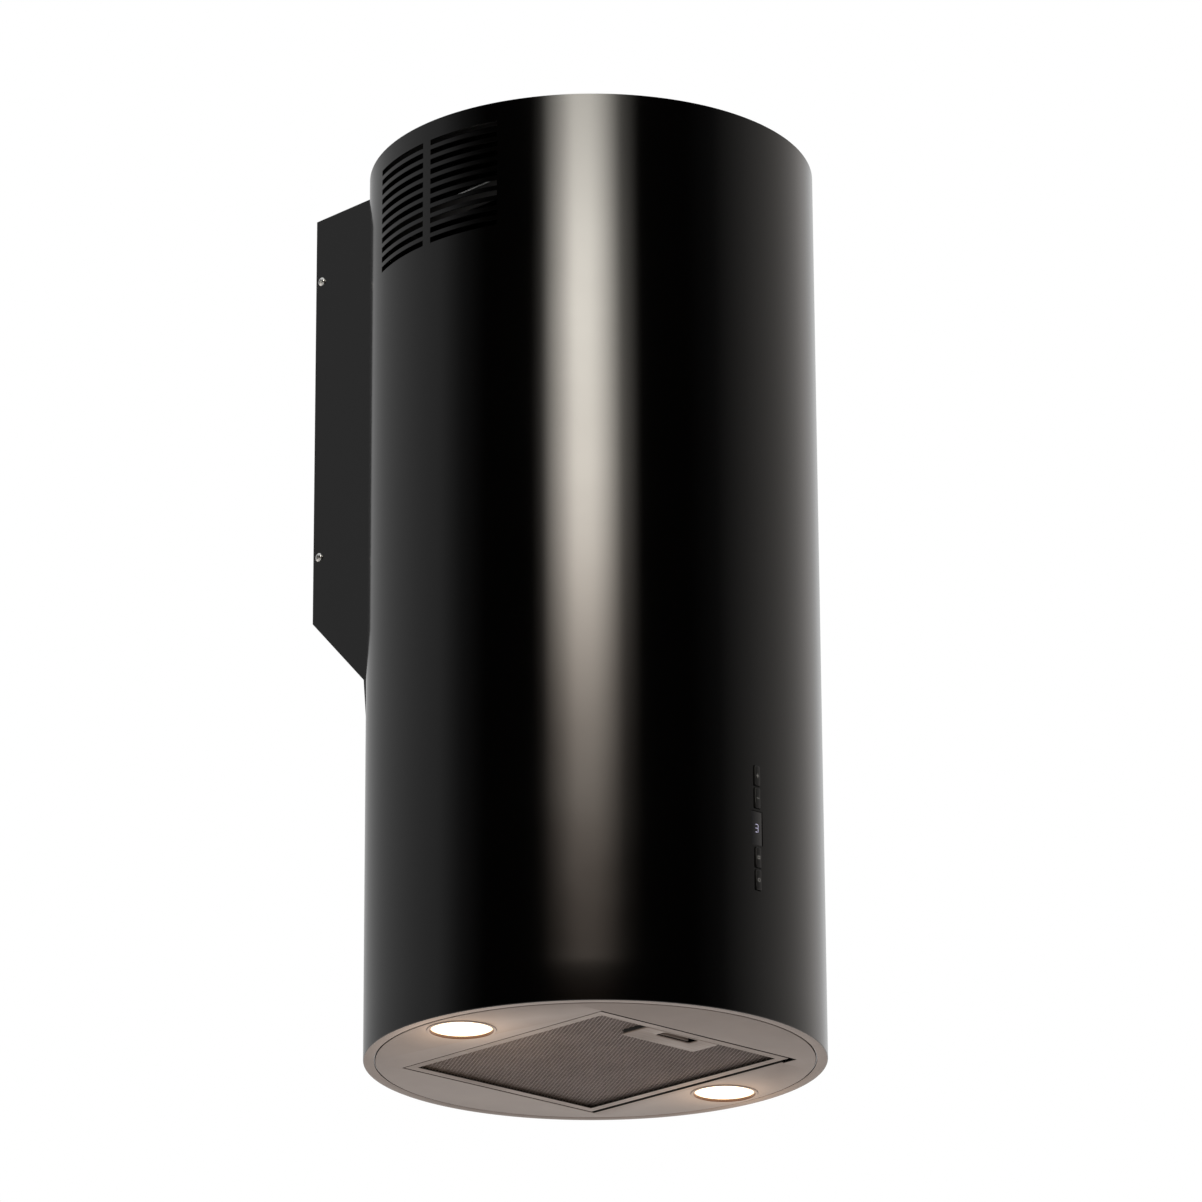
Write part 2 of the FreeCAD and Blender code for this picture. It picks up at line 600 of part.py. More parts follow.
def top_cover():
    body = subpart("top_cover")
    disc = sketch(body, offset="cover_z")
    circle(disc, "0", "0", "ring_outer")
    pad(body, disc, "frame_sheet")
    holes = sketch(body, offset="cover_z")
    circle(holes, "0", "outlet_y", "collar_radius + duct_gap")
    circle(holes, "gland_x", "gland_y", "gland_radius + screw_gap")
    pocket(body, holes, "frame_sheet", back=True)
    turned("cable_gland", [
        ("gland_radius / 2", "-gland_depth"), ("gland_radius + gland_nut", "-gland_depth"),
        ("gland_radius + gland_nut", "0"), ("gland_radius", "0"), ("gland_radius", "frame_sheet"),
        ("gland_radius + gland_nut * 0.75", "frame_sheet"),
        ("gland_radius + gland_nut * 0.75", "frame_sheet + gland_collar"),
        ("gland_radius * 0.75", "frame_sheet + gland_rise"),
        ("gland_radius / 2", "frame_sheet + gland_rise")], x="gland_x", y="gland_y", z="cover_z")


# Spacer box and wall plate.

def wall_box():
    body = subpart("wall_box")
    side = sketch(body, "YZ_Plane")
    deep = "(box_half_width * 0.9)"
    outline(side, [
        (deep, "slope_bottom - tongue_height"),
        ("sqrt(tube_radius^2 - box_half_width^2)", "slope_bottom - tongue_height"),
        ("slope_front", "slope_bottom"),
        ("axis_to_wall", "box_bottom"), ("axis_to_wall", "tube_height"), (deep, "tube_height")])
    pad(body, side, "2 * box_half_width", middle=True)
    hollow = sketch(body, "YZ_Plane")
    floor = "(frame_sheet * sqrt(2))"
    inside = f"({deep} - cut_start)"
    beyond = "(axis_to_wall + cut_start)"
    outline(hollow, [
        (inside, f"box_bottom + {floor} - axis_to_wall + {inside}"),
        (beyond, f"box_bottom + {floor} + cut_start"),
        (beyond, "tube_height - frame_sheet"), (inside, "tube_height - frame_sheet")])
    pocket(body, hollow, "2 * (box_half_width - frame_sheet)", middle=True)
    round_side = sketch(body)
    circle(round_side, "0", "0", "tube_radius + sheet_gap / 2")
    pocket(body, round_side, "tube_height + cut_start", back=True)
    holes = sketch(body, "YZ_Plane")
    for height in SCREW_HEIGHTS:
        circle(holes, "box_screw_y", height, "screw_radius + screw_gap")
    pocket(body, holes, "2 * (box_half_width + cut_start)", middle=True)


def wall_plate():
    half = "(box_half_width - frame_sheet - sheet_gap)"
    body = subpart("wall_plate")
    section = sketch(body, offset="fixing_height - plate_height / 2")
    back = "axis_to_wall"
    outline(section, [
        (f"-{half}", back), (f"-{half}", f"{back} - plate_tab"),
        (f"-{half} + frame_sheet", f"{back} - plate_tab"),
        (f"-{half} + frame_sheet", f"{back} - frame_sheet"),
        (f"{half} - frame_sheet", f"{back} - frame_sheet"),
        (f"{half} - frame_sheet", f"{back} - plate_tab"),
        (half, f"{back} - plate_tab"), (half, back)])
    pad(body, section, "plate_height")
    holes = sketch(body, "XZ_Plane", "-axis_to_wall")
    for sign in SIDES.values():
        for way in SIDES.values():
            circle(holes, f"{sign} * fixing_width / 2",
                   f"fixing_height + {way} * fixing_spacing / 2", "fixing_hole")
    pocket(body, holes, "4 * frame_sheet", middle=True)
    drill = sketch(body, "YZ_Plane")
    for height in SCREW_HEIGHTS:
        circle(drill, "box_screw_y", height, "screw_radius + screw_gap")
    pocket(body, drill, "2 * (box_half_width + cut_start)", middle=True)
    screws = subpart("side_screws")
    for sign, back in ((1, False), (-1, True)):
        heads = sketch(screws, "YZ_Plane", f"{sign} * box_half_width")
        shanks = sketch(screws, "YZ_Plane", f"{sign} * box_half_width")
        for height in SCREW_HEIGHTS:
            circle(heads, "box_screw_y", height, "screw_head")
            circle(shanks, "box_screw_y", height, "screw_radius")
        pad(screws, heads, "head_height", back=back)
        pad(screws, shanks, "screw_length", back=not back)


# Blower.

def volute(inset, top):
    """Outline of the scroll in the plane across the blower axis, three quarter turns and a neck."""
    y, z, first, step = (value(name) for name in ("blower_y", "blower_z", "scroll_radius", "scroll_step"))
    front = value("neck_front") + inset
    back = value("neck_back") - inset
    turns = []
    centres = ((y, z), (y - step, z), (y - step, z + step))
    angles = ((math.acos((back - y) / (first - inset)), 0.0), (0.0, -math.pi / 2), (-math.pi / 2, -math.pi))
    for number, ((across, up), (start, end)) in enumerate(zip(centres, angles)):
        radius = first + number * step - inset
        spots = [Vector(0, across + radius * math.cos(a), up + radius * math.sin(a))
                 for a in (start, (start + end) / 2, end)]
        turns.append(spots)
    corners = [Vector(0, front, top), turns[2][2]]
    tongue = turns[0][0]
    edges = [Part.LineSegment(corners[1], corners[0]), Part.LineSegment(corners[0], Vector(0, back, top)),
             Part.LineSegment(Vector(0, back, top), tongue)]
    edges += [Part.Arc(*spots) for spots in turns]
    return Part.Face(Part.Wire(Part.__sortEdges__([edge.toShape() for edge in edges])))


def scroll():
    wall = value("blower_sheet")
    half = value("blower_half")
    top = value("outlet_z")
    y, z = value("blower_y"), value("blower_z")
    outer = volute(0, top)
    inner = volute(wall, top + wall)
    for side, sign in SIDES.items():
        shell = outer.extrude(Vector(sign * half, 0, 0))
        room = inner.extrude(Vector(sign * (half - wall), 0, 0))
        inlet = Part.makeCylinder(value("inlet_radius"), 2 * half, Vector(0, y, z), Vector(sign, 0, 0))
        solid(f"scroll_{side}", shell.cut(room).cut(inlet))


def outlet_box():
    body = subpart("outlet_box", y="outlet_y")
    case = sketch(body, offset="outlet_z")
    rectangle(case, "-outlet_half", "-outlet_half", "outlet_half", "outlet_half")
    pad(body, case, "separator_z - outlet_z")
    room = sketch(body, offset="separator_z")
    inner = "(outlet_half - blower_sheet)"
    rectangle(room, f"-{inner}", f"-{inner}", inner, inner)
    pocket(body, room, "separator_z - outlet_z - blower_sheet")
    mouth = sketch(body, offset="outlet_z")
    deep = "((neck_back - neck_front) / 2 - blower_sheet)"
    rectangle(mouth, "-blower_half + blower_sheet", f"-{deep}", "blower_half - blower_sheet", deep)
    pocket(body, mouth, "2 * blower_sheet", back=True)


def impeller():
    ends = subpart("impeller", y="blower_y", z="blower_z")
    web = sketch(ends, "XY_Plane")
    outline(web, [
        ("-web_half", "hub_radius"), ("-hub_radius", "hub_radius"), ("-hub_radius", "shaft_radius"),
        ("web_half", "shaft_radius"), ("web_half", "wheel_radius"), ("-web_half", "wheel_radius")])
    revolve(ends, web, "X_Axis")
    blade = sketch(ends, "YZ_Plane")
    outline(blade, [
        ("wheel_radius - blade_depth", "0"), ("wheel_radius - blade_inset", "blade_lean"),
        ("wheel_radius - blade_inset", "blade_lean + blade_sheet"),
        ("wheel_radius - blade_depth", "blade_sheet")])
    one = pad(ends, blade, "2 * wheel_half", middle=True)
    polar(ends, [one], "blade_count", "X_Axis")
    for sign in SIDES.values():
        rim = sketch(ends, "XY_Plane")
        rectangle(rim, f"{sign} * wheel_half", "wheel_radius - blade_depth",
                  f"{sign} * (wheel_half - wheel_rim)", "wheel_radius")
        revolve(ends, rim, "X_Axis")
    turned("motor_shaft", [
        ("-hub_radius - shaft_proud", "0"), ("motor_end - shaft_seat", "0"),
        ("motor_end - shaft_seat", "shaft_radius"), ("-hub_radius - shaft_proud", "shaft_radius")],
        "X_Axis", "XY_Plane", y="blower_y", z="blower_z")
    turned("motor_body", [
        ("motor_start", "shaft_radius + shaft_gap"), ("motor_start", "motor_radius"),
        ("motor_end", "motor_radius"), ("motor_end", "boss_radius"),
        ("blower_half + sheet_gap", "boss_radius"), ("blower_half + sheet_gap", "0"),
        ("motor_end - shaft_seat / 2", "0"), ("motor_end - shaft_seat / 2", "shaft_radius + shaft_gap")],
        "X_Axis", "XY_Plane", y="blower_y", z="blower_z")


def motor_bracket():
    body = subpart("motor_bracket", y="blower_y", z="blower_z")
    rim = sketch(body, "YZ_Plane", "blower_half + sheet_gap")
    circle(rim, "0", "0", "inlet_radius + bracket_rim")
    circle(rim, "0", "0", "inlet_radius - bracket_lap")
    pad(body, rim, "frame_sheet")
    hub = sketch(body, "YZ_Plane", "blower_half + sheet_gap")
    circle(hub, "0", "0", "boss_radius + bracket_lap")
    pad(body, hub, "frame_sheet")
    arm = sketch(body, "YZ_Plane", "blower_half + sheet_gap")
    rectangle(arm, "boss_radius", "-arm_width / 2", "inlet_radius", "arm_width / 2")
    one = pad(body, arm, "frame_sheet")
    polar(body, [one], "3", "X_Axis")


def carbon_filters():
    """Round charcoal cartridges that turn on to the two scroll inlets."""
    start = "(blower_half + sheet_gap + frame_sheet + carbon_gap)"
    end = f"({start} + carbon_depth)"
    for side, sign in SIDES.items():
        turned(f"carbon_filter_{side}", [
            (f"{sign} * ({start} + carbon_dish)", "0"),
            (f"{sign} * ({start} + carbon_dish)", "carbon_radius - carbon_rim"),
            (f"{sign} * {start}", "carbon_radius - carbon_rim"), (f"{sign} * {start}", "carbon_radius"),
            (f"{sign} * {end}", "carbon_radius"), (f"{sign} * {end}", "carbon_radius - carbon_rim"),
            (f"{sign} * ({end} - carbon_dish)", "carbon_radius - carbon_rim * 1.5"),
            (f"{sign} * ({end} - carbon_dish)", "0")],
            "X_Axis", "XY_Plane", y="blower_y", z="blower_z")


def outlet_collar():
    turned("outlet_collar", [
        ("collar_radius - frame_sheet", "0"), ("collar_radius + collar_flange", "0"),
        ("collar_radius + collar_flange", "frame_sheet"), ("collar_radius", "frame_sheet"),
        ("collar_radius", "collar_height"), ("collar_radius - frame_sheet", "collar_height")],
        y="outlet_y", z="collar_z")
    reach = "(collar_radius - frame_sheet - sheet_gap)"
    spindle = subpart("flap_spindle", y="outlet_y", z="flap_z")
    rod = sketch(spindle, "XZ_Plane")
    circle(rod, "0", "0", "spindle_radius")
    pad(spindle, rod, f"2 * {reach}", middle=True)
    radius = value("collar_radius - frame_sheet - flap_gap")
    thick = value("flap_sheet")
    knuckle = value("knuckle_radius")
    length = value("knuckle_length")
    pitch = length + value("knuckle_gap")
    bore = value("spindle_radius + shaft_gap")
    middle = Vector(0, value("outlet_y"), value("flap_z"))
    across = Vector(0, 1, 0)
    for number, (side, sign) in enumerate(SIDES.items()):
        disc = Part.makeCylinder(radius, thick, middle - Vector(0, 0, thick / 2))
        half = Part.makeBox(radius, 2 * radius, 2 * thick)
        clear = knuckle + value("sheet_gap")
        half.translate(middle + Vector(clear if sign > 0 else -clear - radius, -radius, -thick))
        flap = disc.common(half)
        for start in (-2 * pitch + number * pitch, number * pitch):
            spot = middle + Vector(0, start + value("knuckle_gap") / 2, 0)
            bar = Part.makeBox(clear + 1, length, thick)
            bar.translate(spot + Vector(0 if sign > 0 else -clear - 1, 0, -thick / 2))
            flap = flap.fuse([Part.makeCylinder(knuckle, length, spot, across), bar])
        hole = Part.makeCylinder(bore, 4 * radius, middle - across * 2 * radius, across)
        solid(f"flap_{side}", flap.cut(hole).removeSplitter())


# Services below the separator.

def services():
    turned("capacitor", [
        ("0", "-capacitor_height"), ("capacitor_radius", "-capacitor_height"),
        ("capacitor_radius", "-1.5 * capacitor_rim"),
        ("capacitor_radius + capacitor_rim", "-1.5 * capacitor_rim"),
        ("capacitor_radius + capacitor_rim", "0"),
        ("0", "0")], x="-capacitor_x", y="-service_y", z="service_z")
    half = "(junction_width / 2)"
    case = subpart("junction_box", x="junction_x", y="-service_y", z="service_z - junction_height")
    shell = sketch(case)
    rectangle(shell, f"-{half}", f"-{half}", half, half)
    pad(case, shell, "junction_height")
    room = sketch(case)
    inner = f"({half} - junction_wall)"
    rectangle(room, f"-{inner}", f"-{inner}", inner, inner)
    pocket(case, room, "junction_height - junction_wall", back=True)
    lid = subpart("junction_cover", x="junction_x", y="-service_y",
                  z="service_z - junction_height - junction_wall")
    face = sketch(lid)
    rectangle(face, f"-{half}", f"-{half}", half, half)
    pad(lid, face, "junction_wall")


# Grease filter cassette with its latch.

def grease_filter():
    body = subpart("filter_frame")
    case = sketch(body)
    rectangle(case, "filter_left", "filter_front", "filter_right", "filter_back")
    pad(body, case, "filter_depth")
    window = sketch(body)
    rectangle(window, "filter_left + filter_rim", "filter_front + filter_rim",
              "filter_right - filter_rim", "filter_back - filter_rim")
    pocket(body, window, "filter_depth", back=True)
    channel = sketch(body, offset="filter_sheet")
    rectangle(channel, "filter_left + filter_sheet", "filter_front + filter_sheet",
              "filter_right - filter_sheet", "filter_back - filter_sheet")
    pocket(body, channel, "filter_depth - 2 * filter_sheet", back=True)
    slot = sketch(body, offset="tongue_low - slider_gap")
    half = "(slider_width / 2 + slider_gap)"
    rectangle(slot, f"latch_x - {half}", "filter_front - filter_sheet",
              f"latch_x + {half}", "filter_front + 2 * filter_sheet")
    pocket(body, slot, "latch_sheet + 2 * slider_gap", back=True)
    tabs = sketch(body, offset="tongue_low")
    for sign in SIDES.values():
        middle = f"filter_x + {sign} * tab_spread"
        rectangle(tabs, f"{middle} - tab_width / 2", "filter_back - filter_sheet / 2",
                  f"{middle} + tab_width / 2", "opening_back + tab_reach")
    pad(body, tabs, "filter_sheet")
    inner = ("filter_left + filter_sheet + mesh_gap", "filter_front + filter_sheet + mesh_gap",
             "filter_right - filter_sheet - mesh_gap", "filter_back - filter_sheet - mesh_gap")
    top = "(filter_depth - filter_sheet - mesh_gap)"
    mesh_top = "(filter_sheet + mesh_gap + mesh_depth)"
    layers = (("filter_mesh", "filter_sheet + mesh_gap", mesh_top),
              ("filter_core", f"{mesh_top} + mesh_gap", top))
    for label, low, high in layers:
        layer = subpart(label)
        spread = sketch(layer, offset=low)
        rectangle(spread, inner[0], inner[1], inner[2], inner[3])
        pad(layer, spread, f"{high} - ({low})")
        cutout = sketch(layer, offset=low)
        rectangle(cutout, "latch_x - latch_width / 2 - slider_gap", "filter_front",
                  "latch_x + latch_width / 2 + slider_gap", "latch_back + slider_gap")
        pocket(layer, cutout, "filter_depth", back=True)


def latch():
    left, right = "latch_x - latch_width / 2", "latch_x + latch_width / 2"
    plate = subpart("latch_plate")
    tray = sketch(plate)
    rectangle(tray, left, "latch_front", right, "latch_back")
    pad(plate, tray, "latch_depth")
    room = sketch(plate, offset="latch_sheet")
    rectangle(room, f"{left} + latch_sheet", "latch_front - cut_start",
              f"{right} - latch_sheet", "latch_back - latch_sheet")
    pocket(plate, room, "latch_depth", back=True)
    finger = sketch(plate)
    rectangle(finger, "latch_x - finger_width / 2", "finger_front",
              "latch_x + finger_width / 2", "finger_back")
    pocket(plate, finger, "latch_sheet", back=True)
    slider = subpart("latch_slider", x="latch_x")
    side = sketch(slider, "YZ_Plane")
    sheet_top = "(latch_depth - slider_gap)"
    low = "tongue_low"
    step = "(latch_front - latch_sheet / 2)"
    rib = "(finger_back - latch_sheet)"
    outline(side, [
        ("opening_front - tongue_reach", low), (f"{step} + latch_sheet", low),
        (f"{step} + latch_sheet", f"{sheet_top} - latch_sheet"),
        (rib, f"{sheet_top} - latch_sheet"), (rib, low), (f"{rib} + latch_sheet", low),
        (f"{rib} + latch_sheet", f"{sheet_top} - latch_sheet"),
        ("slider_back", f"{sheet_top} - latch_sheet"), ("slider_back", sheet_top),
        (step, sheet_top), (step, f"{low} + latch_sheet"),
        ("opening_front - tongue_reach", f"{low} + latch_sheet")])
    pad(slider, side, "slider_width", middle=True)
    start = value("slider_back") + value("spring_wire")
    length = value("latch_back - latch_sheet") - start - value("spring_wire")
    radius, wire = value("spring_radius"), value("spring_wire")
    line = Part.makeHelix(length / value("spring_turns"), length, radius)
    ring = Part.Wire([Part.makeCircle(wire / 2, Vector(radius, 0, 0), Vector(0, 1, 0))])
    coil = Part.Wire(line.Edges).makePipeShell([ring], True, True)
    coil.rotate(Vector(), Vector(1, 0, 0), -90)
    coil.translate(Vector(value("latch_x"), start, value("latch_depth - slider_gap") - radius - wire / 2))
    solid("latch_spring", Part.Solid(coil) if coil.ShapeType == "Shell" else coil)


# Lamps.

def lamps():
    sleeve = "(lamp_radius + lamp_gap)"
    for side, sign in SIDES.items():
        spot = {"x": f"{sign} * lamp_x"}
        turned(f"lamp_ring_{side}", [
            ("lamp_radius - lamp_lip", "-lamp_proud"), ("lamp_ring", "-lamp_proud"), ("lamp_ring", "0"),
            (f"{sleeve} + lamp_sheet", "0"), (f"{sleeve} + lamp_sheet", "lamp_sleeve"),
            (sleeve, "lamp_sleeve"), (sleeve, "0"), ("lamp_radius - lamp_lip", "0")], **spot)
        turned(f"lamp_glass_{side}", [
            ("0", "0"), ("lamp_radius", "0"), ("lamp_radius", "lamp_thickness"), ("0", "lamp_thickness")],
            **spot)
        turned(f"lamp_reflector_{side}", [
            ("lamp_radius - cup_sheet", "lamp_thickness"), ("lamp_radius", "lamp_thickness"),
            ("holder_radius + cup_sheet", "lamp_cup"), ("0", "lamp_cup"),
            ("0", "lamp_cup - cup_sheet"), ("holder_radius", "lamp_cup - cup_sheet")], **spot)
        turned(f"lamp_holder_{side}", [
            ("0", "lamp_cup"), ("holder_radius", "lamp_cup"),
            ("holder_radius", "lamp_cup + holder_height * 0.6"),
            ("holder_radius * 0.6", "lamp_cup + holder_height"), ("0", "lamp_cup + holder_height")], **spot)
    clips = subpart("lamp_clips")
    for sign in SIDES.values():
        strip = sketch(clips, "YZ_Plane", f"{sign} * lamp_x")
        for way in SIDES.values():
            foot = f"({sleeve} + lamp_sheet + lamp_gap)"
            leg = f"({foot} + clip_sheet)"
            rectangle(strip, f"{way} * {foot}", "panel_sheet", f"{way} * {leg}", "clip_height")
            rectangle(strip, f"{way} * {leg}", "panel_sheet",
                      f"{way} * ({leg} + clip_foot)", "panel_sheet + clip_sheet")
        pad(clips, strip, "clip_width", middle=True)


# Controls.

def buttons():
    for name, low in BUTTONS.items():
        body = subpart(name)
        cap = sketch(body, "XZ_Plane", "button_back")
        rectangle(cap, "-button_width / 2", low, "button_width / 2", f"{low} + button_height")
        pad(body, cap, "tube_radius + button_proud - button_back")
        edge = sketch(body, "XZ_Plane", "button_back + button_step")
        rectangle(edge, "-button_width / 2 - button_flange", f"{low} - button_flange * 0.7",
                  "button_width / 2 + button_flange", f"{low} + button_height + button_flange * 0.7")
        pad(body, edge, "button_flange")


def controls():
    buttons()
    window = subpart("display_window")
    pane = sketch(window, "XZ_Plane", "tube_radius - display_sunk - display_sheet")
    rectangle(pane, "-display_width / 2 + display_gap", "display_bottom + display_gap",
              "display_width / 2 - display_gap", "display_bottom + display_height - display_gap")
    pad(window, pane, "display_sheet")
    module = subpart("display_module")
    lit = sketch(module, "XZ_Plane", "board_front")
    rectangle(lit, "-display_width / 2 + module_inset", "display_bottom + 1.5 * module_inset",
              "display_width / 2 - module_inset", "display_bottom + display_height - 1.5 * module_inset")
    pad(module, lit, "tube_radius - display_sunk - display_sheet - board_gap - board_front")
    low, high = "(control_bottom - housing_end)", "(control_top + housing_end)"
    housing = subpart("control_housing")
    case = sketch(housing, "XZ_Plane", "housing_back")
    rectangle(case, "-housing_half", low, "housing_half", high)
    pad(housing, case, "housing_depth")
    room = sketch(housing, "XZ_Plane", "housing_back + housing_wall")
    rectangle(room, "-housing_half + housing_wall", f"{low} + housing_wall",
              "housing_half - housing_wall", f"{high} - housing_wall")
    pocket(housing, room, "housing_depth", back=True)
    board = subpart("control_board")
    card = sketch(board, "XZ_Plane", "board_front - board_sheet")
    edge = "(housing_wall + board_gap)"
    rectangle(card, f"-housing_half + {edge}", f"{low} + {edge}",
              f"housing_half - {edge}", f"{high} - {edge}")
    pad(board, card, "board_sheet")
    switches = subpart("button_switches")
    keys = sketch(switches, "XZ_Plane", "board_front")
    for low in BUTTONS.values():
        middle = f"{low} + button_height / 2"
        rectangle(keys, "-switch_size / 2", f"{middle} - switch_size / 2",
                  "switch_size / 2", f"{middle} + switch_size / 2")
    pad(switches, keys, "button_back - button_travel - button_gap - board_front")


outer_tube()
bottom_panel()
lower_ring()
radial_screws("panel_screws", "panel_radius - panel_sheet - sheet_gap / 2",
              "screw_height", "panel_screw_length")
frame_rails()
upper_ring()
frame_ties()
separator()
top_cover()
wall_box()
wall_plate()
scroll()
outlet_box()
impeller()
motor_bracket()
carbon_filters()
outlet_collar()
services()
grease_filter()
latch()
lamps()
controls()
doc.recompute()

for item in doc.Objects:
    if "Invalid" in item.State or "Error" in item.State:
        raise RuntimeError(f"{item.Name} ({item.Label}) did not build: {item.State}")
for item in SUBPARTS:
    if item.Shape.isNull() or not item.Shape.isValid():
        raise RuntimeError(f"{item.Label} has no valid shape")
os.makedirs("parts", exist_ok=True)
for item in SUBPARTS:
    item.Shape.exportStep(f"parts/{item.Label}.step")
print(len(SUBPARTS), "sub-parts written")
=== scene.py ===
"""Finishes the tube range hood: casing, panel, filter, lamps, controls, fasteners and materials."""
import json
import math

import bmesh
import bpy
from mathutils import Matrix, Vector


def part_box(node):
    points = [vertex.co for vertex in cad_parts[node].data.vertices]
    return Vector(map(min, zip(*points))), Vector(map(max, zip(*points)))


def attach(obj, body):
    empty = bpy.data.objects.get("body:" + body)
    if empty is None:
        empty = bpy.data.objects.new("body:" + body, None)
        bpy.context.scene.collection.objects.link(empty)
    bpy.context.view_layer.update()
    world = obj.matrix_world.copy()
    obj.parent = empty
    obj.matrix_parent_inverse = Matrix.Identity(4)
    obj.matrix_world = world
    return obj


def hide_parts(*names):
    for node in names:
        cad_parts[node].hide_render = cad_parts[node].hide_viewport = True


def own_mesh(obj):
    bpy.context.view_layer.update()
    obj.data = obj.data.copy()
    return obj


bl_info = {
    "name": "Tube range hood",
    "version": (1, 0, 0),
    "blender": (4, 5, 0),
    "location": "View3D > Sidebar > Hood",
    "description": "Builds the visible pieces and finishes of a wall-mounted tube range hood",
    "category": "Object",
}

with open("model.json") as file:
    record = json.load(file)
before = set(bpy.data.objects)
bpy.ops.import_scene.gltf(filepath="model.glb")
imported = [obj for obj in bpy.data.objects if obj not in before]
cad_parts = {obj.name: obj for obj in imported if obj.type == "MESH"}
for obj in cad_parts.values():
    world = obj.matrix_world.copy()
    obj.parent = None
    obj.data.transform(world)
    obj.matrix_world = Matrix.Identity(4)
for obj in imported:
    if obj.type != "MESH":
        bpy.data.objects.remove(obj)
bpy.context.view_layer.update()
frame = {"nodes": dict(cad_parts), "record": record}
NODES = frame["nodes"]


def corners(node):
    low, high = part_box(node)
    return Vector(low), Vector(high)


def middle(node):
    low, high = corners(node)
    return (low + high) / 2


TUBE_LOW, TUBE_HIGH = corners("outer_tube")
RADIUS = (TUBE_HIGH.x - TUBE_LOW.x) / 2
AXIS = Vector((0.0, (middle("lamp_glass_left").y + middle("lamp_glass_right").y) / 2, 0.0))
BUTTON_FLANGE, BUTTON_LIP = 0.0015, 0.00105     # a cap's flange behind the casing, across and up
BUTTONS = ("button_light", "button_off", "button_slower", "button_faster")
SIDES = ("left", "right")
RAILS = [f"frame_rail_{number}" for number in range(1, 5)]
TO_FRONT = Matrix.Rotation(math.radians(90), 4, "X")     # stands a flat plate up to face the front
CUT_EDGE, INNER_EDGE, WIRE_EDGE = 0.0004, 0.0003, 0.00005     # rounding of smaller parts
UPRIGHT = 0.3     # a face is upright where its normal's height is below this


# Sizes and colours that a user would change.

def length(name, default, note, low=0.0):
    return bpy.props.FloatProperty(name=name, description=note, default=default, min=low,
                                   unit="LENGTH", subtype="DISTANCE", precision=5)


def paint(name, default, note):
    return bpy.props.FloatVectorProperty(name=name, description=note, default=default, size=3,
                                         min=0.0, max=1.0, subtype="COLOR")


class HoodSizes(bpy.types.PropertyGroup):
    sheet: length("Casing sheet", 0.0012, "Thickness of the casing")
    rim: length("Rim", 0.0094, "Width of the in-turned rim")
    roll: length("Rim roll", 0.0007, "Radius of the rolled bottom edge")
    vent_rows: bpy.props.IntProperty(name="Slot rows", description="Slots in a column", default=11, min=1)
    vent_pitch: length("Slot pitch", 0.00907, "From slot to slot")
    vent_slot: length("Slot", 0.0052, "Height of a slot")
    vent_bar: length("Bar", 0.0094, "Bar between two columns of slots")
    vent_reach: length("Reach", 0.0735, "Far end of a column from the middle")
    vent_top: length("Top gap", 0.0173, "Top slot below the top edge")
    hole_gap: length("Hole gap", 0.0005, "Clearance round a button")
    cell_long: length("Cell length", 0.0062, "Long way of a cell of the expanded metal")
    cell_short: length("Cell width", 0.0036, "Short way of a cell of the expanded metal")
    strand: length("Strand", 0.00064, "Width of a strand of the expanded metal")
    recess: length("Recess", 0.0036, "Expanded metal above the face of the filter")
    edge: length("Edge", 0.0005, "Rounding of bent and cut sheet edges")


class HoodColours(bpy.types.PropertyGroup):
    casing: paint("Casing", (0.0009, 0.0008, 0.0008), "Black powder coat")
    panel: paint("Panel", (0.238, 0.190, 0.166), "Warm grey paint of the bottom panel")
    mesh: paint("Mesh", (0.33, 0.272, 0.252), "Expanded metal")
    galvanised: paint("Galvanised", (0.50, 0.51, 0.52), "Inner sheet metal")
    plastic: paint("Plastic", (0.016, 0.016, 0.017), "Moulded parts")
    lamp: paint("Lamp", (1.0, 0.83, 0.62), "Warm lamp light")
    digit: paint("Digit", (0.72, 0.70, 1.0), "Lit digit")


def sizes():
    return bpy.context.scene.hood_sizes


def colours():
    return bpy.context.scene.hood_colours


# Finishes.

def shader_of(material):
    return next(node for node in material.node_tree.nodes if node.type == "BSDF_PRINCIPLED")


def finish(name, colour, roughness, metallic=0.0, **sockets):
    material = bpy.data.materials.new(name)
    material.use_nodes = True
    shader = shader_of(material)
    shader.inputs["Base Color"].default_value = (*colour, 1.0)
    shader.inputs["Roughness"].default_value = roughness
    shader.inputs["Metallic"].default_value = metallic
    for socket, number in sockets.items():
        shader.inputs[socket.replace("_", " ")].default_value = number
    return material


def texture(material, kind, scale, stretch=(1, 1, 1)):
    """A texture on object coordinates, stretched for brushed or rolled metal."""
    nodes, links = material.node_tree.nodes, material.node_tree.links
    place = nodes.new("ShaderNodeTexCoord")
    mapping = nodes.new("ShaderNodeMapping")
    mapping.inputs["Scale"].default_value = stretch
    made = nodes.new(f"ShaderNodeTex{kind}")
    made.inputs["Scale"].default_value = scale
    links.new(place.outputs["Object"], mapping.inputs["Vector"])
    links.new(mapping.outputs["Vector"], made.inputs["Vector"])
    return made


def noise(material, scale, detail=3.0, stretch=(1, 1, 1)):
    made = texture(material, "Noise", scale, stretch)
    made.inputs["Detail"].default_value = detail
    return made.outputs["Fac"]


def spread(material, source, socket, low, high, start=0.3, end=0.7):
    """Map a texture to a range of a number on the shader's socket."""
    nodes, links = material.node_tree.nodes, material.node_tree.links
    ranger = nodes.new("ShaderNodeMapRange")
    ranger.inputs["From Min"].default_value = start
    ranger.inputs["From Max"].default_value = end
    ranger.inputs["To Min"].default_value = low
    ranger.inputs["To Max"].default_value = high
    links.new(source, ranger.inputs["Value"])
    links.new(ranger.outputs["Result"], shader_of(material).inputs[socket])


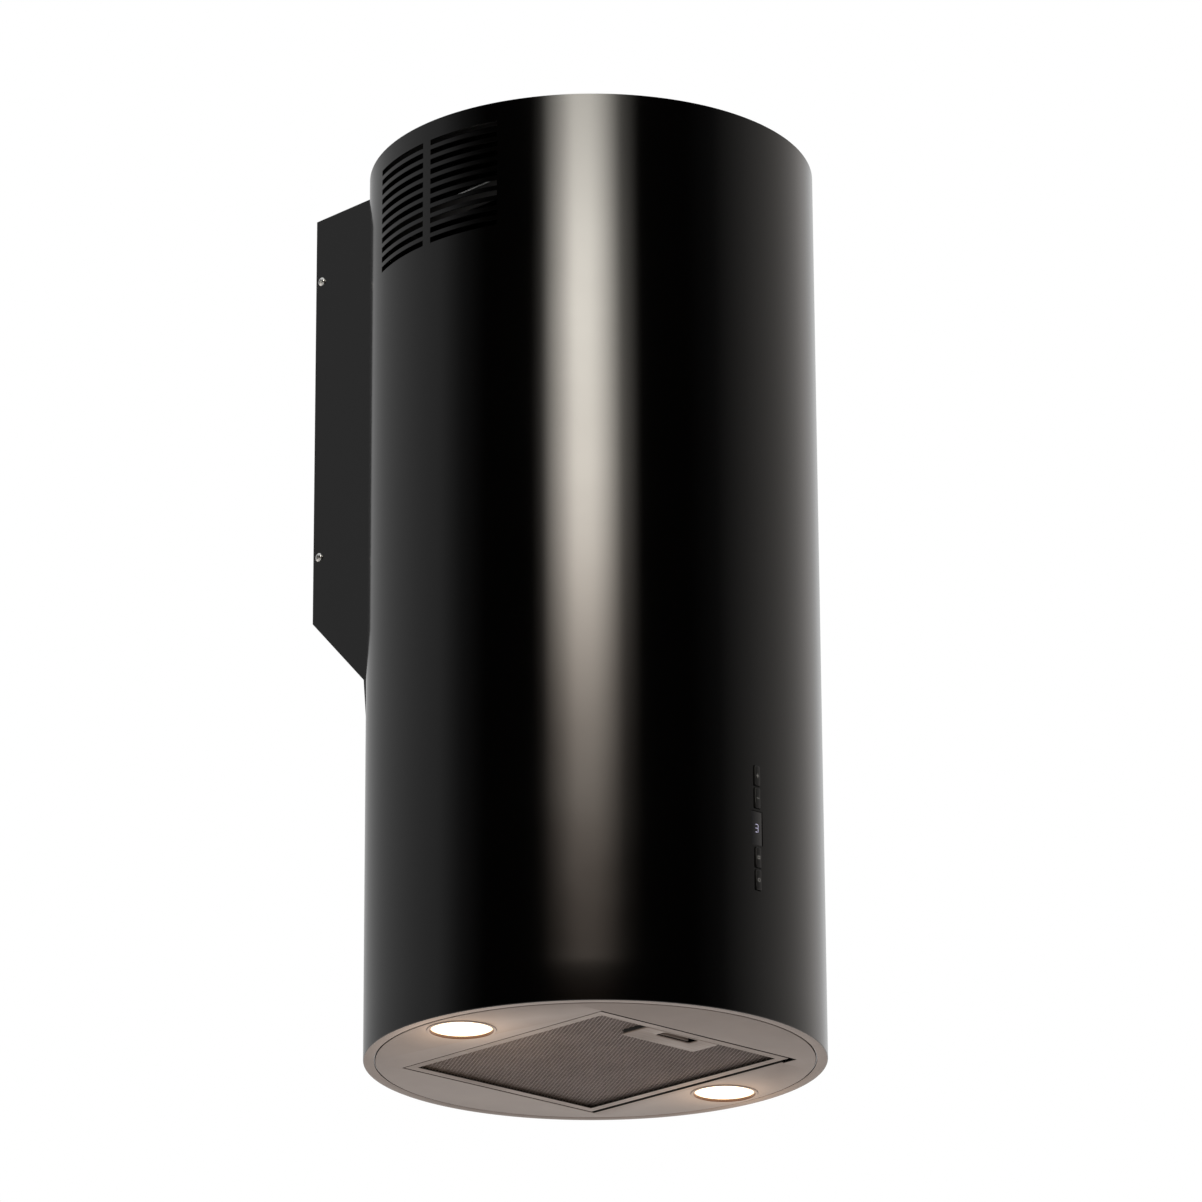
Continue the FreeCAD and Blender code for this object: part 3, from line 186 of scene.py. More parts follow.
def ramp(tree, source, stops):
    """Blend through stops of position and colour along a source; a plain number is a grey."""
    node = tree.nodes.new("ShaderNodeValToRGB")
    spots = node.color_ramp.elements
    while len(spots) < len(stops):
        spots.new(0.5)
    for spot, (position, tone) in zip(spots, stops):
        spot.position = position
        spot.color = (*(tone if isinstance(tone, tuple) else (tone,) * 3), 1.0)
    tree.links.new(source, node.inputs["Fac"])
    return node.outputs["Color"]


def tint(material, source, dark, light, start=0.3, end=0.7):
    """Map a texture to a blend of two colours."""
    blend = ramp(material.node_tree, source, [(start, dark), (end, light)])
    material.node_tree.links.new(blend, shader_of(material).inputs["Base Color"])


def relief(material, source, strength, distance):
    """Raise a texture as fine bumps."""
    nodes, links = material.node_tree.nodes, material.node_tree.links
    bump = nodes.new("ShaderNodeBump")
    bump.inputs["Strength"].default_value = strength
    bump.inputs["Distance"].default_value = distance
    links.new(source, bump.inputs["Height"])
    links.new(bump.outputs["Normal"], shader_of(material).inputs["Normal"])


def shade(colour, factor):
    return tuple(min(1.0, part * factor) for part in colour)


def powder_coat(name, colour, roughness, grain=0.25):
    """Baked paint: fine orange peel, faint cloudiness in the gloss."""
    coat = finish(name, colour, roughness)
    spread(coat, noise(coat, 9, 4), "Roughness", roughness * 0.92, roughness * 1.1)
    tint(coat, noise(coat, 25), shade(colour, 0.93), shade(colour, 1.07))
    relief(coat, noise(coat, 1400, 2), grain, 0.00006)
    return coat


def moulded(name, colour, roughness=0.45):
    """Moulded plastic with a fine spark-eroded grain."""
    plastic = finish(name, colour, roughness)
    spread(plastic, noise(plastic, 60), "Roughness", roughness * 0.88, roughness * 1.15)
    tint(plastic, noise(plastic, 40), shade(colour, 0.9), shade(colour, 1.1))
    relief(plastic, noise(plastic, 2600, 2), 0.35, 0.00008)
    return plastic


def galvanised_sheet(name, colour):
    """Zinc-coated sheet with its crystal spangle."""
    sheet = finish(name, colour, 0.36, metallic=1.0)
    spangle = texture(sheet, "Voronoi", 110)
    split = sheet.node_tree.nodes.new("ShaderNodeSeparateColor")
    sheet.node_tree.links.new(spangle.outputs["Color"], split.inputs["Color"])
    tint(sheet, split.outputs["Red"], shade(colour, 0.8), shade(colour, 1.12), 0.0, 1.0)
    spread(sheet, split.outputs["Green"], "Roughness", 0.28, 0.46, 0.0, 1.0)
    relief(sheet, noise(sheet, 700), 0.15, 0.00008)
    return sheet


def brushed(name, colour, roughness, along, metallic=1.0):
    """Metal with fine lines along one axis."""
    metal = finish(name, colour, roughness, metallic=metallic, Anisotropic=0.35)
    lines = noise(metal, 300, 4, tuple(0.04 if axis == along else 1.6 for axis in "xyz"))
    spread(metal, lines, "Roughness", roughness * 0.8, roughness * 1.25)
    tint(metal, noise(metal, 35), shade(colour, 0.88), shade(colour, 1.08))
    relief(metal, lines, 0.18, 0.00005)
    return metal


def plated(name, colour, roughness=0.2):
    """Bright zinc plate with faint handling marks."""
    plate = finish(name, colour, roughness, metallic=1.0)
    spread(plate, noise(plate, 180, 4), "Roughness", roughness * 0.7, roughness * 1.6)
    tint(plate, noise(plate, 90), shade(colour, 0.85), shade(colour, 1.1))
    relief(plate, noise(plate, 900), 0.1, 0.00005)
    return plate


def glowing(name, colour, strength):
    """Lit figures behind a dark window."""
    figure = finish(name, colour, 0.35, Emission_Strength=strength)
    shader_of(figure).inputs["Emission Color"].default_value = (*colour, 1.0)
    relief(figure, noise(figure, 900, 2), 0.3, 0.0001)
    return figure


# Brightness of a lit lamp glass, from its middle to its edge.
LAMP_GLOW = ((0.0, (9.0, 8.4, 7.6)), (0.6, (4.0, 3.6, 3.1)), (0.82, (1.7, 1.45, 1.2)),
             (1.0, (0.85, 0.62, 0.42)))


def lamp_light(name, colour):
    """Lit frosted glass, white in the middle and amber towards its edge."""
    glass = finish(name, (0.8, 0.76, 0.7), 0.35, Emission_Strength=1.0)
    across = glass.node_tree.nodes.new("ShaderNodeAttribute")
    across.attribute_name = "across"
    stops = [(position, tuple(part * tone for part, tone in zip(light, colour)))
             for position, light in LAMP_GLOW]
    glow = ramp(glass.node_tree, across.outputs["Fac"], stops)
    glass.node_tree.links.new(glow, shader_of(glass).inputs["Emission Color"])
    relief(glass, noise(glass, 900, 2), 0.3, 0.0001)
    return glass


def charcoal(name):
    """Granules behind a mesh."""
    carbon = finish(name, (0.02, 0.02, 0.02), 0.8)
    grains = texture(carbon, "Voronoi", 420).outputs["Distance"]
    tint(carbon, grains, (0.035, 0.035, 0.036), (0.006, 0.006, 0.006), 0.0, 0.6)
    relief(carbon, grains, 0.8, 0.0012)
    return carbon


def circuit_board(name):
    """Green solder mask with the faint relief of its tracks."""
    board = finish(name, (0.012, 0.10, 0.035), 0.32, Coat_Weight=0.4)
    tracks = texture(board, "Brick", 160)
    tracks.inputs["Mortar Size"].default_value = 0.03
    tint(board, tracks.outputs["Fac"], (0.012, 0.10, 0.035), (0.03, 0.22, 0.07), 0.2, 0.8)
    relief(board, tracks.outputs["Fac"], 0.3, 0.0001)
    return board


def smoked_window(name):
    """Dark glossy display window."""
    pane = finish(name, (0.006, 0.006, 0.008), 0.12, Coat_Weight=0.6, Coat_Roughness=0.05)
    spread(pane, noise(pane, 70), "Roughness", 0.09, 0.17)
    return pane


FINISHES = {}


def finish_of(slot):
    """The finish for a slot, made once."""
    if slot not in FINISHES:
        look = colours()
        recipes = {
            "casing_paint": (powder_coat, look.casing, 0.118, 0.06),
            "panel_paint": (powder_coat, look.panel, 0.42, 0.15),
            # near-black painted shade for inner faces that lie in shade: the panel's lips and hole walls, the
            # filter frame's walls and the latch tray's walls
            "panel_inside": (powder_coat, (0.012, 0.011, 0.01), 0.6),
            "inner_paint": (powder_coat, (0.006, 0.0058, 0.0056), 0.5),
            "galvanised": (galvanised_sheet, look.galvanised),
            "zinc": (plated, (0.78, 0.78, 0.76)),
            "aluminium": (brushed, (0.265, 0.215, 0.188), 0.45, "x", 0.15),
            "mesh": (brushed, look.mesh, 0.45, "y", 0.2),
            # dark amber-brown bore: painted shade tinted by the lamp's warm light
            "lamp_bore": (brushed, (0.085, 0.042, 0.025), 0.4, "z", 0.3),
            "spring_steel": (brushed, (0.62, 0.61, 0.58), 0.25, "z"),
            "black_plastic": (moulded, look.plastic),
            "button_plastic": (moulded, (0.0035, 0.0033, 0.0033), 0.3),
            "button_mark": (moulded, (0.30, 0.30, 0.29), 0.5),
            "white_plastic": (moulded, (0.78, 0.76, 0.70), 0.42),
            "foam": (moulded, (0.03, 0.03, 0.032), 0.9),
            "filter_wool": (moulded, (0.020, 0.017, 0.015), 0.8),
            "glass": (lamp_light, look.lamp),
            "digit": (glowing, look.digit, 0.30),
            "smoked": (smoked_window,),
            "charcoal": (charcoal,),
            "board": (circuit_board,),
        }
        maker, *values = recipes[slot]
        FINISHES[slot] = maker(slot, *values)
    return FINISHES[slot]


def slot_of(node):
    return next(row["material_slot"] for row in frame["record"]["subparts"] if row["node"] == node)


def body_of(node):
    bodies = frame["record"]["behaviour"]["bodies"]
    return next(name for name, members in bodies.items() if node in members)


# Mesh work.

SHARP_CORNER = math.radians(32)


def smoothed(mesh):
    """Smooth shading with the sharp corners kept crisp."""
    for polygon in mesh.polygons:
        polygon.use_smooth = True
    mesh.set_sharp_from_angle(angle=SHARP_CORNER)


def two_finishes(mesh, first, second, is_second):
    """Give a mesh two finishes, the second on the faces that a rule picks."""
    mesh.materials.clear()
    for slot in (first, second):
        mesh.materials.append(finish_of(slot))
    for polygon in mesh.polygons:
        polygon.material_index = int(is_second(polygon))


def add(name, mesh, body, slot, replaced=(), smooth=True):
    """Link a finished mesh as a piece, with its body, finish and the nodes that it stands for."""
    piece = bpy.data.objects.new(name, mesh)
    bpy.context.scene.collection.objects.link(piece)
    if smooth:
        smoothed(mesh)
    if not mesh.materials:
        mesh.materials.append(finish_of(slot))
    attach(piece, body)
    if replaced:
        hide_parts(*replaced)
    return piece


def plain_mesh(holder):
    """The mesh that an object gives with its modifiers; the object is then dropped."""
    bpy.context.view_layer.update()
    graph = bpy.context.evaluated_depsgraph_get()
    mesh = bpy.data.meshes.new_from_object(holder.evaluated_get(graph))
    bpy.data.objects.remove(holder)
    return mesh


def baked(holder, modifiers=()):
    """The mesh of an object after a list of modifiers, each a kind and its settings."""
    bpy.context.scene.collection.objects.link(holder)
    for kind, settings in modifiers:
        made = holder.modifiers.new(kind.lower(), kind)
        for name, setting in settings.items():
            setattr(made, name, setting)
    return plain_mesh(holder)


def grown(start, tree, inputs, **values):
    """The mesh that a geometry node tree gives from a starting mesh and the values named."""
    holder = bpy.data.objects.new(start.name, start)
    bpy.context.scene.collection.objects.link(holder)
    modifier = holder.modifiers.new("nodes", "NODES")
    modifier.node_group = tree
    for label, setting in values.items():
        modifier[inputs[label.replace("_", " ")]] = setting
    holder.update_tag()
    return plain_mesh(holder)


def begun_tree(name, kinds):
    """A geometry node tree with a Geometry output and named inputs, and the inputs' identifiers."""
    tree = bpy.data.node_groups.new(name, "GeometryNodeTree")
    face = tree.interface
    face.new_socket("Geometry", in_out="OUTPUT", socket_type="NodeSocketGeometry")
    inputs = {label: face.new_socket(label, in_out="INPUT", socket_type=f"NodeSocket{kind}").identifier
              for label, kind in kinds.items()}
    return tree, inputs


def close_tree(tree, instances, chosen_finish):
    """End a tree with its instances made real and given their finish."""
    nodes, links = tree.nodes, tree.links
    real = nodes.new("GeometryNodeRealizeInstances")
    coat = nodes.new("GeometryNodeSetMaterial")
    result = nodes.new("NodeGroupOutput")
    links.new(instances, real.inputs["Geometry"])
    links.new(real.outputs["Geometry"], coat.inputs["Geometry"])
    links.new(chosen_finish, coat.inputs["Material"])
    links.new(coat.outputs["Geometry"], result.inputs["Geometry"])


def to_mesh(name, build):
    """A mesh from a bmesh that is closed and faces outwards."""
    bmesh.ops.remove_doubles(build, verts=build.verts, dist=1e-7)
    bmesh.ops.recalc_face_normals(build, faces=build.faces)
    mesh = bpy.data.meshes.new(name)
    build.to_mesh(mesh)
    build.free()
    return mesh


def lathe(build, profile, centre, segments=96, closed=True):
    """Turn a profile of (radius, height) points about the vertical through centre."""
    rings = []
    for radius, height in profile:
        if radius < 1e-7:
            rings.append([build.verts.new((centre.x, centre.y, height))] * segments)
            continue
        rings.append([build.verts.new((centre.x + radius * math.cos(2 * math.pi * i / segments),
                                       centre.y + radius * math.sin(2 * math.pi * i / segments), height))
                      for i in range(segments)])
    pairs = list(zip(rings, rings[1:] + rings[:1] if closed else rings[1:]))
    for low, high in pairs:
        for i in range(segments):
            after = (i + 1) % segments
            around = [low[i], low[after], high[after], high[i]]
            unique = list(dict.fromkeys(around))
            if len(unique) > 2:
                build.faces.new(unique)


def arc_points(centre, radius, start, end, steps=5):
    """Points of a rounded corner in the plane, angles in degrees."""
    return [(centre[0] + radius * math.cos(math.radians(start + (end - start) * i / steps)),
             centre[1] + radius * math.sin(math.radians(start + (end - start) * i / steps)))
            for i in range(steps + 1)]


def rounded_rectangle(low, high, radius, steps=6):
    """An outline from two opposite corners."""
    left, front, right, back = low[0], low[1], high[0], high[1]
    turns = ((right - radius, front + radius, -90), (right - radius, back - radius, 0),
             (left + radius, back - radius, 90), (left + radius, front + radius, 180))
    return [point for x, y, start in turns for point in arc_points((x, y), radius, start, start + 90, steps)]


def front_outline(centre, half_wide, half_high, radius, steps=3):
    """A rounded rectangle on the front, about a middle."""
    return rounded_rectangle((centre.x - half_wide, centre.z - half_high),
                             (centre.x + half_wide, centre.z + half_high), radius, steps)


def ring_points(centre, radius, steps=96):
    return arc_points(centre, radius, 0, 360 * (steps - 1) / steps, steps - 1)


def cut_plate(name, outlines, low, high, rounding, turn=None):
    """A flat plate between two heights from outlines, the first outside and the rest holes."""
    curve = bpy.data.curves.new(name, "CURVE")
    curve.dimensions = "2D"
    curve.fill_mode = "BOTH"
    curve.bevel_depth = rounding
    curve.bevel_resolution = 2
    curve.offset = -rounding
    curve.extrude = (high - low) / 2 - rounding
    for outline in outlines:
        spline = curve.splines.new("POLY")
        spline.points.add(len(outline) - 1)
        for point, (across, up) in zip(spline.points, outline):
            point.co = (across, up, 0, 1)
        spline.use_cyclic_u = True
    mesh = baked(bpy.data.objects.new(name, curve))
    mesh.transform(Matrix.Translation((0, 0, (low + high) / 2)))
    if turn:
        mesh.transform(turn)
    build = bmesh.new()
    build.from_mesh(mesh)
    return to_mesh(name, build)


def joined(name, *meshes):
    """One mesh from several."""
    build = bmesh.new()
    for mesh in meshes:
        build.from_mesh(mesh)
    mesh = bpy.data.meshes.new(name)
    build.to_mesh(mesh)
    build.free()
    return mesh


def softened(node, rounding, segments=2):
    """A CAD node's shape with its long edges rounded, as bent and moulded parts have."""
    build = bmesh.new()
    build.from_mesh(NODES[node].data)
    bmesh.ops.remove_doubles(build, verts=build.verts, dist=1e-6)
    bmesh.ops.dissolve_limit(build, angle_limit=math.radians(1.0), verts=build.verts, edges=build.edges)
    shape = bpy.data.objects.new("shape", to_mesh(f"{node}_finished", build))
    mesh = baked(shape, [("BEVEL", {"width": rounding, "segments": segments, "limit_method": "ANGLE",
                                    "angle_limit": math.radians(40), "use_clamp_overlap": True})])
    smoothed(mesh)
    mesh = baked(bpy.data.objects.new("shape", mesh), [("WEIGHTED_NORMAL", {"keep_sharp": True})])
    mesh.materials.clear()
    return add(f"{node}_finished", mesh, body_of(node), slot_of(node), [node], smooth=False)


def steps_between(marks, longest):
    """Sorted marks with more in between where two are far apart."""
    marks = sorted(set(round(mark, 7) for mark in marks))
    filled = [marks[0]]
    for mark in marks[1:]:
        count = max(1, math.ceil((mark - filled[-1]) / longest))
        start = filled[-1]
        filled += [start + (mark - start) * (i + 1) / count for i in range(count)]
    return filled


# Pieces.

SEAM_ANGLE = -0.6                  # where the faces round the tube start, clear of every opening
FACE_WIDTH = math.radians(1.5)     # widest face round the tube
FACE_HEIGHT = 0.05                 # tallest face up the tube
WINDOW_GAP = 0.0001                # clearance round the display window
RIM_RISE = 0.0045                  # height of the rim's inner lip
HEM, HEM_BEND = 0.0014, 0.0004     # turn of the rim's inner edge
RIM_FACE = 0.0013                  # the rim's underside lies below this


def in_hole(spot, rise, holes):
    """Whether an angle and a height fall in a hole, which may straddle angle zero."""
    return any(low < rise < high and (start < spot < end or start < spot - 2 * math.pi < end)
               for (start, end), (low, high) in holes)


class HOOD_OT_casing(bpy.types.Operator):
    """Build the tube with its rolled rim, slots and control holes"""
    bl_idname = "hood.casing"
    bl_label = "Casing"

    def execute(self, context):
        size = sizes()
        holes = self.slots(size) + self.control_holes(size)
        turns = [SEAM_ANGLE, SEAM_ANGLE + 2 * math.pi] + [mark for span, _ in holes for mark in span]
        around = steps_between(turns, FACE_WIDTH)[:-1]
        rim = self.rim(size)
        marks = [TUBE_LOW.z + size.roll, TUBE_HIGH.z] + [mark for _, rise in holes for mark in rise]
        profile = rim + [(RADIUS, mark) for mark in steps_between(marks, FACE_HEIGHT)[1:]]
        build = bmesh.new()
        grid = [[build.verts.new((AXIS.x + radius * math.cos(angle),
                                  AXIS.y + radius * math.sin(angle), height)) for angle in around]
                for radius, height in profile]
        for row in range(len(profile) - 1):
            rise = (profile[row][1] + profile[row + 1][1]) / 2
            for i, angle in enumerate(around):
                after = (i + 1) % len(around)
                width = (around[after] - angle) % (2 * math.pi)
                spot = (angle + width / 2) % (2 * math.pi)
                if row < len(rim) or not in_hole(spot, rise, holes):
                    build.faces.new((grid[row][i], grid[row][after], grid[row + 1][after], grid[row + 1][i]))
        mesh = bpy.data.meshes.new("casing")
        build.to_mesh(mesh)
        build.free()
        mesh = baked(bpy.data.objects.new("casing", mesh),
                     [("SOLIDIFY", {"thickness": size.sheet, "offset": -1.0, "use_even_offset": True})])
        two_finishes(mesh, "casing_paint", "panel_paint",
                     lambda face: (face.center - AXIS).xy.length < RADIUS - size.roll
                     and face.center.z < TUBE_LOW.z + RIM_FACE and face.normal.z < -0.5)
        add("casing", mesh, "root", "casing_paint", ["outer_tube"])
        return {"FINISHED"}

    def slots(self, size):
        """Angles and heights of the slots: two columns at each side."""
        inner, outer = (math.asin(reach / RADIUS) for reach in (size.vent_bar / 2, size.vent_reach))
        spans = [(inner, outer), (-outer, -inner), (math.pi - outer, math.pi - inner),
                 (math.pi + inner, math.pi + outer)]
        top = TUBE_HIGH.z - size.vent_top
        rises = [(top - row * size.vent_pitch - size.vent_slot, top - row * size.vent_pitch)
                 for row in range(size.vent_rows)]
        return [(span, rise) for span in spans for rise in rises]

    def control_holes(self, size):
        """Angles and heights of the holes at the front for the buttons and the display window."""
        front = 1.5 * math.pi
        holes = []
        for node in (*BUTTONS, "display_window"):
            low, high = corners(node)
            button = node in BUTTONS
            half = (high.x - low.x) / 2 + (size.hole_gap - BUTTON_FLANGE if button else WINDOW_GAP)
            turn = math.asin(half / RADIUS)
            inset = BUTTON_LIP - size.hole_gap if button else -WINDOW_GAP
            holes.append(((front - turn, front + turn), (low.z + inset, high.z - inset)))
        return holes

    def rim(self, size):
        """Radius and height of the points from the rim's inner lip round the rolled edge."""
        inner, base = RADIUS - size.rim, TUBE_LOW.z
        return ([(inner, base + RIM_RISE), (inner, base + HEM), (inner + HEM_BEND, base + HEM_BEND),
                 (inner + HEM, base)]
                + arc_points((RADIUS - size.roll, base + size.roll), size.roll, -90, 0, 7))


class HOOD_OT_spacer(bpy.types.Operator):
    """Round the bends of the spacer box and its wall plate"""
    bl_idname = "hood.spacer"
    bl_label = "Spacer box"

    def execute(self, context):
        softened("wall_box", sizes().edge)
        softened("wall_plate", CUT_EDGE)
        return {"FINISHED"}


GAP_ENDS, GAP_LEFT, GAP_RIGHT = 0.00305, 0.00205, 0.00605     # opening past the filter's mesh
NOTCH_DEEP, NOTCH_LONG = 0.0026, 0.015     # widening at the opening's near right corner
LAMP_HOLE = 0.0272                         # radius of the hole round a lamp
PANEL_GAP = 0.0001                         # between the panel's edge and the rim
LIP_HIGH, LIP_START = 0.008, 0.001         # lip along the opening, and its distance from the notch
PAINTED_EDGE, PAINTED_FACE = 0.004, 0.0011     # the panel's paint shows this far in and this far up; past it the faces take a near-black painted shade


class HOOD_OT_panel(bpy.types.Operator):
    """Build the bottom panel with its pressed edge, filter opening and lamp holes"""
    bl_idname = "hood.panel"
    bl_label = "Bottom panel"

    def execute(self, context):
        low, high = corners("bottom_panel")
        radius = (high.x - low.x) / 2
        thick = sizes().sheet
        top = low.z + thick
        mesh_low, mesh_high = corners("filter_mesh")
        near, far = mesh_low.y - GAP_ENDS, mesh_high.y + GAP_ENDS
        left, right = mesh_low.x - GAP_LEFT, mesh_high.x + GAP_RIGHT
        notch, notch_end = right + NOTCH_DEEP, near + NOTCH_LONG
        opening = [(left, near), (notch, near), (notch, notch_end), (right, notch_end),
                   (right, far), (left, far)]
        holes = [ring_points(middle(f"lamp_glass_{side}"), LAMP_HOLE) for side in SIDES]
        sheet = cut_plate("sheet", [ring_points(AXIS, radius, 256), opening, *holes], low.z, top, 0.00035)
        skirt = bmesh.new()
        lathe(skirt, [(radius - thick, top), (radius - PANEL_GAP, top), (radius - PANEL_GAP, high.z),
                      (radius - thick, high.z)], AXIS, 256)
        lips = [self.lip(left - thick / 2, mesh_low.y, mesh_high.y, top),
                self.lip(right + thick / 2, notch_end + LIP_START, mesh_high.y, top)]
        mesh = joined("panel", sheet, to_mesh("skirt", skirt), *lips)

        # faces in near-black painted shade: upright faces inside the edge, and every face above the panel's
        # underside
        def takes_painted_shade(face):
            inside = (face.center - AXIS).xy.length < radius - PAINTED_EDGE
            return inside and abs(face.normal.z) < UPRIGHT or face.center.z > low.z + PAINTED_FACE

        two_finishes(mesh, "panel_paint", "panel_inside", takes_painted_shade)
        add("panel", mesh, "root", "panel_paint", ["bottom_panel"])
        return {"FINISHED"}

    def lip(self, across, start, end, base):
        """A turned-up edge along one side of the opening."""
        build = bmesh.new()
        bmesh.ops.create_cube(build, size=1.0)
        spot = Vector((across, (start + end) / 2, base + LIP_HIGH / 2))
        build.transform(Matrix.Translation(spot) @ Matrix.Diagonal((sizes().sheet, end - start, LIP_HIGH, 1)))
        return to_mesh("lip", build)


def expanded_metal():
    """Geometry nodes for a field of diamond cells: every other diamond of the lattice has all strands."""
    tree, inputs = begun_tree("expanded_metal", {
        "Width": "Float", "Length": "Float", "Cell Long": "Float", "Cell Short": "Float",
        "Strand": "Float", "Thickness": "Float", "Finish": "Material"})
    nodes, links = tree.nodes, tree.links
    out = nodes.new("NodeGroupInput").outputs

    def maths(kind, first, second):
        node = nodes.new("ShaderNodeMath")
        node.operation = kind
        for socket, feed in zip(node.inputs, (first, second)):
            if isinstance(feed, (int, float)):
                socket.default_value = feed
            else:
                links.new(feed, socket)
        return node.outputs[0]

    across = maths("ROUND", maths("DIVIDE", out["Width"], out["Cell Long"]), 0)
    along = maths("ROUND", maths("DIVIDE", out["Length"], out["Cell Short"]), 0)
    grid = nodes.new("GeometryNodeMeshGrid")
    links.new(maths("MULTIPLY", maths("SUBTRACT", across, 1), out["Cell Long"]), grid.inputs["Size X"])
    links.new(maths("MULTIPLY", maths("SUBTRACT", along, 1), out["Cell Short"]), grid.inputs["Size Y"])
    links.new(across, grid.inputs["Vertices X"])
    links.new(along, grid.inputs["Vertices Y"])
    diamond = nodes.new("GeometryNodeCurvePrimitiveQuadrilateral")
    diamond.mode = "KITE"
    half = maths("DIVIDE", out["Cell Short"], 2)
    links.new(out["Cell Long"], diamond.inputs["Width"])
    links.new(half, diamond.inputs["Bottom Height"])
    links.new(half, diamond.inputs["Top Height"])
    strand = nodes.new("GeometryNodeCurvePrimitiveQuadrilateral")
    strand.mode = "RECTANGLE"
    links.new(out["Strand"], strand.inputs["Width"])
    links.new(out["Thickness"], strand.inputs["Height"])
    sweep = nodes.new("GeometryNodeCurveToMesh")
    links.new(diamond.outputs["Curve"], sweep.inputs["Curve"])
    links.new(strand.outputs["Curve"], sweep.inputs["Profile Curve"])
    field = nodes.new("GeometryNodeInstanceOnPoints")
    links.new(grid.outputs["Mesh"], field.inputs["Points"])
    links.new(sweep.outputs["Mesh"], field.inputs["Instance"])
    close_tree(tree, field.outputs["Instances"], out["Finish"])
    return tree, inputs


STRAND_HIGH = 0.0005                       # thickness of the expanded metal
MESH_MARGIN = 0.002                        # the field stays this much smaller than its frame
INNER_LONG, INNER_SHORT = 1.3, 1.4         # cells of the inner layer against the outer one's
INNER_LEVEL, WOOL_LEVEL = 0.0012, 0.0022   # inner layer and wool above the outer layer
LATCH_GAP = 0.0004                         # between the wool and the latch plate
FRAME_FACE, TRAY_FACE = 0.0015, 0.0009     # the metal's own finish shows up to here on the frame and the tray; faces above, and the frame's upright faces, take a near-black painted shade
LATCH_CORNER = 0.0025
FINGER_HALF, FINGER_NEAR, FINGER_FAR, FINGER_CORNER = 0.020, 0.002, 0.014, 0.003     # the latch's hole


class HOOD_OT_filter(bpy.types.Operator):
    """Build the grease filter: frame, two layers of expanded metal, latch plate and slider"""
    bl_idname = "hood.filter"
    bl_label = "Grease filter"

    def execute(self, context):
        size = sizes()
        surround = softened("filter_frame", CUT_EDGE)
        base = corners("filter_frame")[0].z
        # the frame's upright faces and its faces above its underside take a near-black painted shade
        two_finishes(surround.data, "aluminium", "panel_inside",
                     lambda face: abs(face.normal.z) < UPRIGHT or face.center.z > base + FRAME_FACE)
        low, high = corners("filter_mesh")
        plate_low, plate_high = corners("latch_plate")
        tree, inputs = expanded_metal()
        centre = (low + high) / 2
        level = TUBE_LOW.z + size.recess
        body = body_of("filter_mesh")
        wide, deep = high.x - low.x - MESH_MARGIN, high.y - low.y - MESH_MARGIN
        first = grown(bpy.data.meshes.new("outer_layer"), tree, inputs, Width=deep, Length=wide,
                      Cell_Long=size.cell_long, Cell_Short=size.cell_short, Strand=size.strand,
                      Thickness=STRAND_HIGH, Finish=finish_of("mesh"))
        first.transform(Matrix.Translation((centre.x, centre.y, level))
                        @ Matrix.Rotation(math.radians(90), 4, "Z"))
        # the inner layer is expanded metal too, but takes the wool's near-black finish: painted shade behind
        # the outer layer
        second = grown(bpy.data.meshes.new("inner_layer"), tree, inputs, Width=wide, Length=deep,
                       Cell_Long=size.cell_long * INNER_LONG, Cell_Short=size.cell_short * INNER_SHORT,
                       Strand=size.strand, Thickness=STRAND_HIGH, Finish=finish_of("filter_wool"))
        second.transform(Matrix.Translation((centre.x, centre.y, level + INNER_LEVEL)))
        add("filter_expanded_metal", clear_of(first, plate_low, plate_high), body, "mesh", ["filter_mesh"])
        add("filter_inner_layer", clear_of(second, plate_low, plate_high), body, "mesh")
        core_low, core_high = corners("filter_core")
        past = plate_high.y + LATCH_GAP
        fields = ((core_low.x, past, core_high.x, core_high.y),
                  (core_low.x, core_low.y, plate_low.x - LATCH_GAP, past),
                  (plate_high.x + LATCH_GAP, core_low.y, core_high.x, past))
        wool = [cut_plate("filter_backing", [[(left, near), (right, near), (right, far), (left, far)]],
                          level + WOOL_LEVEL, core_high.z, INNER_EDGE)
                for left, near, right, far in fields]
        add("filter_backing", joined("filter_backing", *wool), body, "filter_wool", ["filter_core"])
        self.latch()
        return {"FINISHED"}

    def latch(self):
        """The tray with its hole for a finger, the slider, and the spring."""
        low, high = corners("latch_plate")
        slider = middle("latch_slider").x
        thick = sizes().sheet
        outline = rounded_rectangle(low, high, LATCH_CORNER)
        finger = rounded_rectangle((slider - FINGER_HALF, low.y + FINGER_NEAR),
                                   (slider + FINGER_HALF, low.y + FINGER_FAR), FINGER_CORNER)
        plate = cut_plate("plate", [outline, finger], low.z - 0.0003, low.z + thick, CUT_EDGE)
        hollow = [(low.x + thick, low.y), (high.x - thick, low.y),
                  (high.x - thick, high.y - thick), (low.x + thick, high.y - thick)]
        walls = cut_plate("walls", [outline, hollow], low.z + thick, high.z, 0.0002)
        tray = joined("latch_plate_finished", plate, walls)
        # the tray's walls and the faces above its underside take a near-black painted shade, for the dark
        # outline of the finger hole
        two_finishes(tray, "aluminium", "panel_inside", lambda face: face.center.z > low.z + TRAY_FACE)
        add("latch_plate_finished", tray, "filter", "aluminium", ["latch_plate"])
        softened("latch_slider", INNER_EDGE)
        spring = softened("latch_spring", WIRE_EDGE, 1)
        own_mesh(spring)


def clear_of(mesh, low, high, margin=0.0005, near_margin=0.002):
    """Drop what lies inside a rectangle in plan, such as mesh behind the latch."""
    build = bmesh.new()
    build.from_mesh(mesh)
    hit = []
    for face in build.faces:
        spot = face.calc_center_median()
        if low.x - margin < spot.x < high.x + margin and low.y - near_margin < spot.y < high.y + margin:
            hit.append(face)
    bmesh.ops.delete(build, geom=hit, context="FACES")
    build.to_mesh(mesh)
    build.free()
    return mesh


